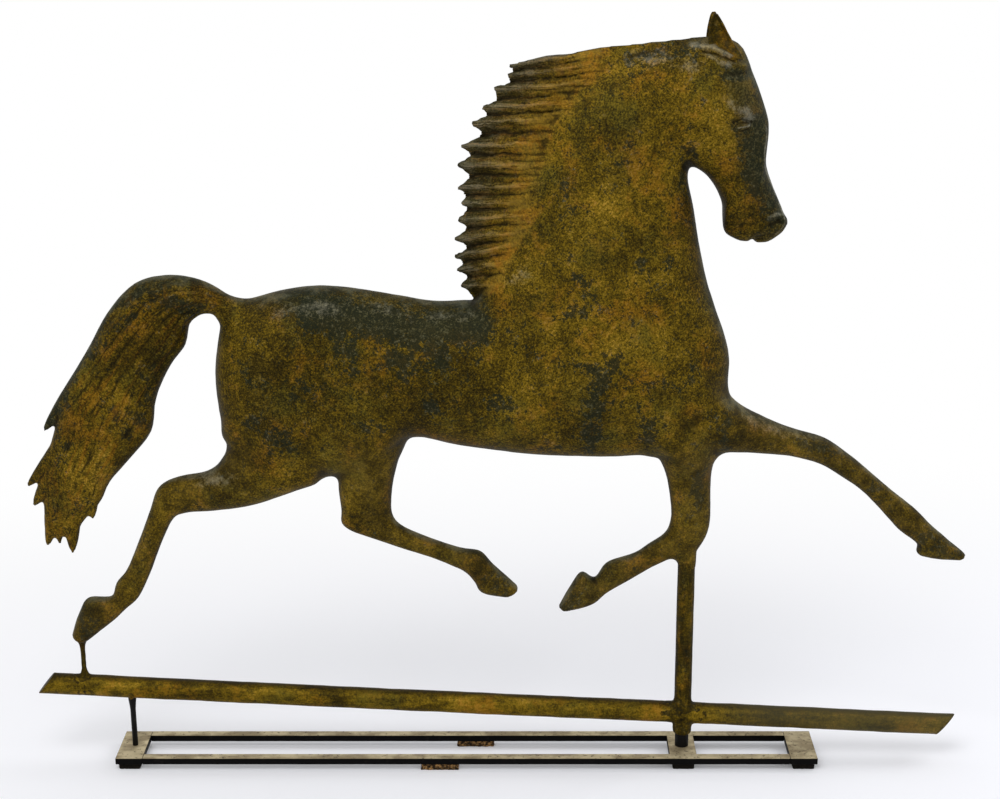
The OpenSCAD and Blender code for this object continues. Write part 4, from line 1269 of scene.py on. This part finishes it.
class Finish:
    """A material that is being made."""

    def __init__(self, name, **constants):
        self.material = bpy.data.materials.new(name)
        self.material.use_nodes = True
        self.nodes, self.links = self.material.node_tree.nodes, self.material.node_tree.links
        self.shader = self.nodes["Principled BSDF"]
        self.set(**constants)

    def feed(self, socket, value):
        if isinstance(value, Value):
            self.links.new(value.socket, socket)
        else:
            socket.default_value = value

    def set(self, **inputs):
        """Sets the shader's own sockets. An underscore in a name stands for a space."""
        for name, value in inputs.items():
            self.feed(self.shader.inputs[name.replace("_", " ")], value)

    def node(self, kind, settings=None, inputs=None, output=0):
        node = self.nodes.new(kind)
        for name, value in (settings or {}).items():
            setattr(node, name, value)
        for name, value in (inputs or {}).items():
            self.feed(node.inputs[name], value)
        return Value(self, node.outputs[output])

    def place(self):
        """The place on the piece itself, so that the pattern moves with it."""
        return self.node("ShaderNodeTexCoord", output="Object")

    def attribute(self, name):
        return self.node("ShaderNodeAttribute", {"attribute_name": name}, output="Fac")

    def noise(self, place, scale, detail=3.0, roughness=0.55, stretch=None):
        if stretch:
            place = self.node("ShaderNodeVectorMath", {"operation": "MULTIPLY"}, {0: place, 1: stretch})
        return self.node("ShaderNodeTexNoise", {}, {"Vector": place, "Scale": scale, "Detail": detail,
                                                    "Roughness": roughness})

    def mix(self, share, first, second):
        """The first colour where share is nought, the second where it is one."""
        return self.node("ShaderNodeMix", {"data_type": "RGBA"}, {0: share, 6: first, 7: second}, output=2)

    def bump(self, height, distance, strength=1.0):
        """A normal that shows a height as relief of so many millimetres."""
        return self.node("ShaderNodeBump", {}, {"Height": height, "Distance": distance * MM,
                                                "Strength": strength}, output="Normal")

    def facing(self, axis):
        """How far the surface looks along an axis of its own piece: 0 forward, 1 sideways, 2 upward."""
        normal = self.node("ShaderNodeTexCoord", output="Normal")
        return self.node("ShaderNodeSeparateXYZ", {}, {0: normal}, output=axis)


# %% [markdown]
# Old gilding wears through to a brown size and to green-black copper. A photograph of it could be wrapped
# round the horse, but it would stretch. Here noise adds up to a tone, and the tone leads through the
# colours from the dark size to bright gold.

# %% Ground of the gilding
BROWN_BLACK = srgb(22, 17, 5)
OLIVE = srgb(55, 44, 8)
OCHRE = srgb(87, 70, 12)
MUSTARD = srgb(119, 96, 20)
GOLD = srgb(168, 132, 48)
GREEN_BLACK = srgb(27, 31, 20)
GREY_GREEN = srgb(80, 81, 64)
# Grey of the painted highlights
HIGHLIGHT_GREY = srgb(146, 142, 124)
GREY_OLIVE = srgb(70, 66, 46)
ORANGE_GOLD = srgb(166, 112, 32)
# From which tone to which one each colour takes over from the one before
gold_ramp = [(0.28, 0.46, OLIVE), (0.41, 0.56, OCHRE), (0.49, 0.64, MUSTARD), (0.60, 0.74, GOLD)]


def gold_ground(finish, place, tone, speckle):
    """Worn gold with warm and cool zones, and the warm gold alone."""
    plain = BROWN_BLACK
    for low, high, shade in gold_ramp:
        plain = finish.mix(tone.step(low, high), plain, shade)
    tint = tone.step(0.34, 0.66)
    warm = finish.mix(tint, srgb(50, 31, 5), srgb(132, 88, 16))
    cool = finish.mix(tint, srgb(30, 30, 12), srgb(98, 88, 26))
    warm_zones = finish.noise(place, 30, 4, 0.7) * 0.75 + speckle * 0.25
    cool_zones = finish.noise(place, 19, 4, 0.65) * 0.75 + speckle * 0.25
    colour = finish.mix(warm_zones.step(0.50, 0.64) * 0.55, plain, warm)
    return finish.mix(cool_zones.step(0.50, 0.64) * 0.6, colour, cool), warm


# %% [markdown]
# On the horse the kept attributes place the hair, the darker hollows, the painted shade and the painted
# highlights and sheen. A clean border would look painted on, so noise is added to each attribute before it
# is turned into a mask.

# %% Marks on the horse


def horse_marks(finish, colour, warm, blotches, speckle, grain):
    """The colour with all marks of the horse over it, and the mask of the painted highlights."""
    rough_edge = (blotches - 0.5) * 1.5 + (speckle - 0.5) * 1.3 + (grain - 0.5) * 0.8

    def mark(name, roughness, low, high):
        """A kept attribute as a mask with a broken border."""
        return (finish.attribute(name) + rough_edge * roughness).step(low, high)

    brown = finish.mix(blotches.step(0.4, 0.6), srgb(58, 48, 26), srgb(104, 88, 50))
    colour = finish.mix(finish.attribute("calm") * 0.18, colour, brown)
    # Mane: grey-green tips, orange-gold roots, dark valleys and painted highlights on the crests between them
    hair_place = finish.node("ShaderNodeCombineXYZ", {},
                             {0: finish.attribute("strand"), 1: finish.attribute("along") * 0.3})
    streaks = finish.noise(hair_place, 2.4, 4, 0.7)
    lock_tone = blotches * 0.3 + grain * 0.3 + streaks * 0.4
    lock_colour = finish.mix(lock_tone.step(0.46, 0.58), GREEN_BLACK, GREY_GREEN)
    colour = finish.mix(mark("lock", 0.7, 0.35, 1.0) * 0.7, colour, lock_colour)
    root = mark("root", 0.7, 0.2, 1.1) * (1 - finish.attribute("valley") * 1.5).most(0)
    colour = finish.mix(root * 0.42, colour, finish.mix(blotches.step(0.45, 0.58), GOLD, ORANGE_GOLD))
    colour = finish.mix(mark("valley", 0.25, 0.22, 0.95) * 0.7, colour, BROWN_BLACK)
    crest = finish.attribute("crest") * streaks.step(0.40, 0.58)
    crest_colour = finish.mix(finish.attribute("lock"), srgb(172, 136, 62), HIGHLIGHT_GREY)
    colour = finish.mix(crest * 0.4, colour, crest_colour)
    # Streaks along the hair
    hair = finish.attribute("hair")
    colour = finish.mix(hair * streaks.step(0.52, 0.62) * 0.5, colour, warm)
    colour = finish.mix(hair * (1 - streaks).step(0.52, 0.64) * 0.75, colour, BROWN_BLACK)
    # Dark forehead and back, painted sheen on the upper edges, painted shade on the undersides,
    # painted highlights and darker hollows
    shade_colour = finish.mix((grain * 0.6 + speckle * 0.4).step(0.48, 0.60), GREEN_BLACK, srgb(70, 68, 42))
    upper_sheen_colour = finish.mix(blotches.step(0.42, 0.6), GREEN_BLACK, GREY_GREEN)
    pale = mark("pale", 0.9, 0.2, 1.1)
    for mask, layer in ((mark("shade", 0.5, 0.05, 1.05) * 0.72, shade_colour),
                        (mark("over", 0.3, 0.1, 0.9) * 0.6, upper_sheen_colour),
                        (mark("under", 0.3, 0.1, 0.95) * 0.75, BROWN_BLACK),
                        (pale * 0.5, HIGHLIGHT_GREY),
                        (finish.attribute("hollow").step(0.15, 0.95) * 0.75, BROWN_BLACK)):
        colour = finish.mix(mask, colour, layer)
    return colour, pale


# %% [markdown]
# The rod and the tubes have no attributes. Their painted shade on the upper and lower edges follows the way
# that the surface faces on the piece itself, so the shaded edges turn with the vane. The rod grows greyer to
# the front.

# %% Marks on the rod and the tubes


def tube_marks(finish, place, colour, blotches):
    """The colour with painted shade on the edges and a grey front end."""
    sideways = finish.facing(1)
    edge = 1 - sideways.most(0 - sideways)
    # Painted shade on the edges that turn away from the side
    colour = finish.mix((edge + (blotches - 0.5) * 0.9).step(0.25, 0.95) * 0.8, colour, BROWN_BLACK)
    forward = finish.node("ShaderNodeSeparateXYZ", {}, {0: place}, output=0)
    return finish.mix(forward.step(0.01, 0.09) * 0.6, colour, GREY_OLIVE)


# %% [markdown]
# Ground, crusts, specks and marks now come together. Crusts are the green-black islands where the copper
# is bare. The relief stays shallow, because leaf and size are thinner than a hair.

# %% Weathered gilding
# Size, detail and roughness of the clouds, the blotches, the speckle and the grain
gilding_noises = ((14, 3, 0.6), (60, 5, 0.65), (230, 4, 0.7), (620, 3, 0.75))


def gilding(name, depth=0.0, on_horse=False, run=(1, 1, 1)):
    """Weathered gilding. Depth moves it from ochre towards the dark size, run draws its streaks out."""
    finish = Finish(name, Metallic=0.35, Specular_IOR_Level=0.05)
    place = finish.place()
    clouds, blotches, speckle, grain = (finish.noise(place, *settings) for settings in gilding_noises)
    contrast = 1 - finish.attribute("calm") * 0.3 if on_horse else 0.55
    tone = clouds * 0.34 + blotches * 0.38 + speckle * 0.28
    tone = tone + (grain - 0.5) * contrast * 0.76 + 0.009 - depth
    crust_level = finish.noise(place, 110, 5, 0.75) * 0.6 + finish.noise(place, 420, 3, 0.75) * 0.4
    crust_level = crust_level + (blotches - 0.5) * 0.25 + depth
    if on_horse:
        tone = tone + finish.attribute("bright") * 0.045
        crust_level = crust_level + finish.attribute("dark") * 0.17
    else:
        tone = tone + (finish.noise(place, 150, 4, 0.7, stretch=run) - 0.5) * 0.45
    colour, warm = gold_ground(finish, place, tone, speckle)
    crust = crust_level.step(0.565, 0.615)
    crust_colour = finish.mix((speckle * 0.6 + grain * 0.4).step(0.52, 0.66), GREEN_BLACK, GREY_GREEN)
    colour = finish.mix(crust * (0.85 if on_horse else 0.4), colour, crust_colour)
    specks = finish.noise(place, 300, 4, 0.7).step(0.59, 0.63)
    colour = finish.mix(specks * contrast * 0.7, colour, GREEN_BLACK)
    rough = 0.45 + speckle * 0.25
    if on_horse:
        colour, pale = horse_marks(finish, colour, warm, blotches, speckle, grain)
        rough = rough - pale * 0.1
    else:
        colour = tube_marks(finish, place, colour, blotches)
    relief = speckle * 0.5 + grain * 0.5 - crust * 0.15
    finish.set(Base_Color=colour, Roughness=rough, Normal=finish.bump(relief, 0.45, 0.6))
    return finish.material


horse_gilding = gilding("weathered_gilding", on_horse=True)
rod_gilding = gilding("rod_gilding", depth=-0.03, run=(0.25, 1, 1))
tube_gilding = gilding("tube_gilding", depth=0.06, run=(1, 1, 0.15))
ear_gilding = gilding("ear_gilding", depth=0.07)


def dress(pieces, material):
    """Gives pieces their one material."""
    for piece in pieces:
        piece.data.materials.clear()
        piece.data.materials.append(material)


dress(gilt_pieces.values(), horse_gilding)
dress(gilt_ears, ear_gilding)
dress(rod_pieces, rod_gilding)
dress([dab_piece, tube_piece, strut_piece, strut_solder, tube_solder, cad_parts["tube_plug"]],
      tube_gilding)

# %% [markdown]
# The bars were painted or blued black, and their tops are rubbed to a dull tan. Which way a face looks
# decides its colour, so the same material serves every bar.

# %% Steel, plastic, felt and cork


def worn_steel(name):
    """Dull tan on faces that look up, black on the sides, bright where an edge is rubbed."""
    finish = Finish(name, Metallic=0.35, Specular_IOR_Level=0.06)
    place = finish.place()
    blotches = finish.noise(place, 55, 4, 0.6)
    speckle = finish.noise(place, 260, 4, 0.7)
    streaks = finish.noise(place, 90, 3, 0.6, stretch=(0.25, 1, 1))
    rubbed = (blotches * 0.5 + streaks * 0.5).step(0.40, 0.60)
    tan = finish.mix(rubbed, srgb(144, 130, 102), srgb(196, 182, 148))
    tan = finish.mix(speckle.step(0.56, 0.66) * 0.75, tan, srgb(58, 50, 38))
    black = finish.mix(speckle.step(0.55, 0.75), srgb(9, 8, 8), srgb(28, 25, 22))
    colour = finish.mix((finish.facing(2) + (speckle - 0.5) * 0.3).step(0.55, 0.9), black, tan)
    finish.set(Base_Color=colour, Roughness=0.42 + speckle * 0.3, Normal=finish.bump(speckle, 0.2, 0.4))
    return finish.material


def black_coat(name, rough):
    """Black plastic or paint with faint scuffs."""
    finish = Finish(name, Specular_IOR_Level=0.1)
    place = finish.place()
    speckle = finish.noise(place, 420, 3, 0.6)
    scuffs = finish.noise(place, 120, 4, 0.7, stretch=(1, 1, 0.3))
    colour = finish.mix(scuffs.step(0.58, 0.72) * 0.35, srgb(12, 11, 11), srgb(58, 54, 48))
    finish.set(Base_Color=colour, Roughness=rough + speckle * 0.2, Normal=finish.bump(speckle, 0.15, 0.3))
    return finish.material


def felt_finish(name):
    """Dark pressed felt."""
    finish = Finish(name, Specular_IOR_Level=0.05)
    place = finish.place()
    fibres = finish.noise(place, 900, 4, 0.8)
    clumps = finish.noise(place, 200, 3, 0.6)
    colour = finish.mix((fibres * 0.6 + clumps * 0.4).step(0.35, 0.7), srgb(10, 9, 8), srgb(34, 29, 24))
    finish.set(Base_Color=colour, Roughness=0.85 + fibres * 0.1, Normal=finish.bump(fibres, 0.4, 0.8))
    return finish.material


def cork_finish(name):
    """Coarse cork with dark grains."""
    finish = Finish(name, Specular_IOR_Level=0.1)
    place = finish.place()
    grains = finish.node("ShaderNodeTexVoronoi", {"feature": "F1"}, {"Vector": place, "Scale": 480.0},
                         output="Distance")
    tints = finish.noise(place, 330, 3, 0.6)
    colour = finish.mix(tints.step(0.38, 0.64), srgb(36, 26, 15), srgb(150, 114, 70))
    colour = finish.mix(grains.step(0.45, 0.75) * 0.8, colour, srgb(20, 15, 10))
    relief = tints - grains * 0.5
    finish.set(Base_Color=colour, Roughness=0.85 + tints * 0.1, Normal=finish.bump(relief, 0.6, 0.9))
    return finish.material


dress(steel_pieces, worn_steel("worn_flat_bar"))
dress([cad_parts["post_pin"]], worn_steel("pin_steel"))
dress([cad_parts["post_sleeve"]], black_coat("black_post", 0.35))
dress([prop_piece], black_coat("black_prop", 0.3))
dress([felt_pads], felt_finish("pad_felt"))
dress([cork_pads], cork_finish("pad_cork"))
print(len(steel_pieces), "bars of worn steel")

# %% [markdown]
# The photograph has a near-white ground with only a faint shadow. More light would bleach the gilding, so
# the floor keeps its own pale colour under the stand and fades to pure white away from it, and the world
# is white to the camera and to reflections but lights the horse at a plain level.

# %% Floor, world and lamps
WORLD_LIGHT = 0.62


def is_seen(nodes, links):
    """One for camera, glossy and transmission rays in a node tree."""
    path = nodes.new("ShaderNodeLightPath")
    total = path.outputs["Is Camera Ray"]
    for name in ("Is Glossy Ray", "Is Transmission Ray"):
        highest = nodes.new("ShaderNodeMath")
        highest.operation = "MAXIMUM"
        links.new(total, highest.inputs[0])
        links.new(path.outputs[name], highest.inputs[1])
        total = highest.outputs[0]
    return total


world = bpy.data.worlds.new("white_room")
world.use_nodes = True
scene.world = world
world_nodes, world_links = world.node_tree.nodes, world.node_tree.links
light_level = world_nodes.new("ShaderNodeMapRange")
light_level.inputs["To Min"].default_value = WORLD_LIGHT
light_level.inputs["To Max"].default_value = 1.0
world_links.new(is_seen(world_nodes, world_links), light_level.inputs["Value"])
world_nodes["Background"].inputs["Color"].default_value = (1, 1, 1, 1)
world_links.new(light_level.outputs[0], world_nodes["Background"].inputs["Strength"])

floor_bm = bmesh.new()
bmesh.ops.create_circle(floor_bm, segments=96, radius=4.5, cap_ends=True)
floor = bpy.data.objects.new("floor", finished_mesh("floor", floor_bm))
scene.collection.objects.link(floor)
floor_finish = Finish("pale_floor", Base_Color=srgb(247, 248, 254), Roughness=0.9)
# Distance from the stand, counted half as fast along it
squeezed = floor_finish.node("ShaderNodeVectorMath", {"operation": "MULTIPLY"},
                             {0: floor_finish.place(), 1: (0.5, 1, 0)})
distance = floor_finish.node("ShaderNodeVectorMath", {"operation": "LENGTH"}, {0: squeezed}, output="Value")
fade_out = 0.12 + distance.step(0.12, 0.9) * 0.88
white = floor_finish.nodes.new("ShaderNodeEmission")
joined = floor_finish.nodes.new("ShaderNodeMixShader")
seen = Value(floor_finish, is_seen(floor_finish.nodes, floor_finish.links))
floor_finish.feed(joined.inputs[0], fade_out * seen)
floor_finish.links.new(floor_finish.shader.outputs[0], joined.inputs[1])
floor_finish.links.new(white.outputs[0], joined.inputs[2])
floor_finish.links.new(joined.outputs[0], floor_finish.nodes["Material Output"].inputs["Surface"])
dress([floor], floor_finish.material)


def soft_lamp(name, place, aim, size, watts):
    """A square lamp that looks at a point."""
    lamp = bpy.data.lights.new(name, "AREA")
    lamp.size, lamp.energy = size, watts
    holder = bpy.data.objects.new(name, lamp)
    towards = Vector(aim) - Vector(place)
    holder.matrix_world = Matrix.Translation(place) @ towards.to_track_quat("-Z", "Y").to_matrix().to_4x4()
    scene.collection.objects.link(holder)


soft_lamp("key_lamp", (-0.7, -1.3, 2.1), (-0.17, 0, 0.35), 1.3, 22)
soft_lamp("rim_lamp", (1.4, 0.5, 1.5), (-0.1, 0, 0.35), 1.0, 10)
scene.view_settings.view_transform = "Standard"
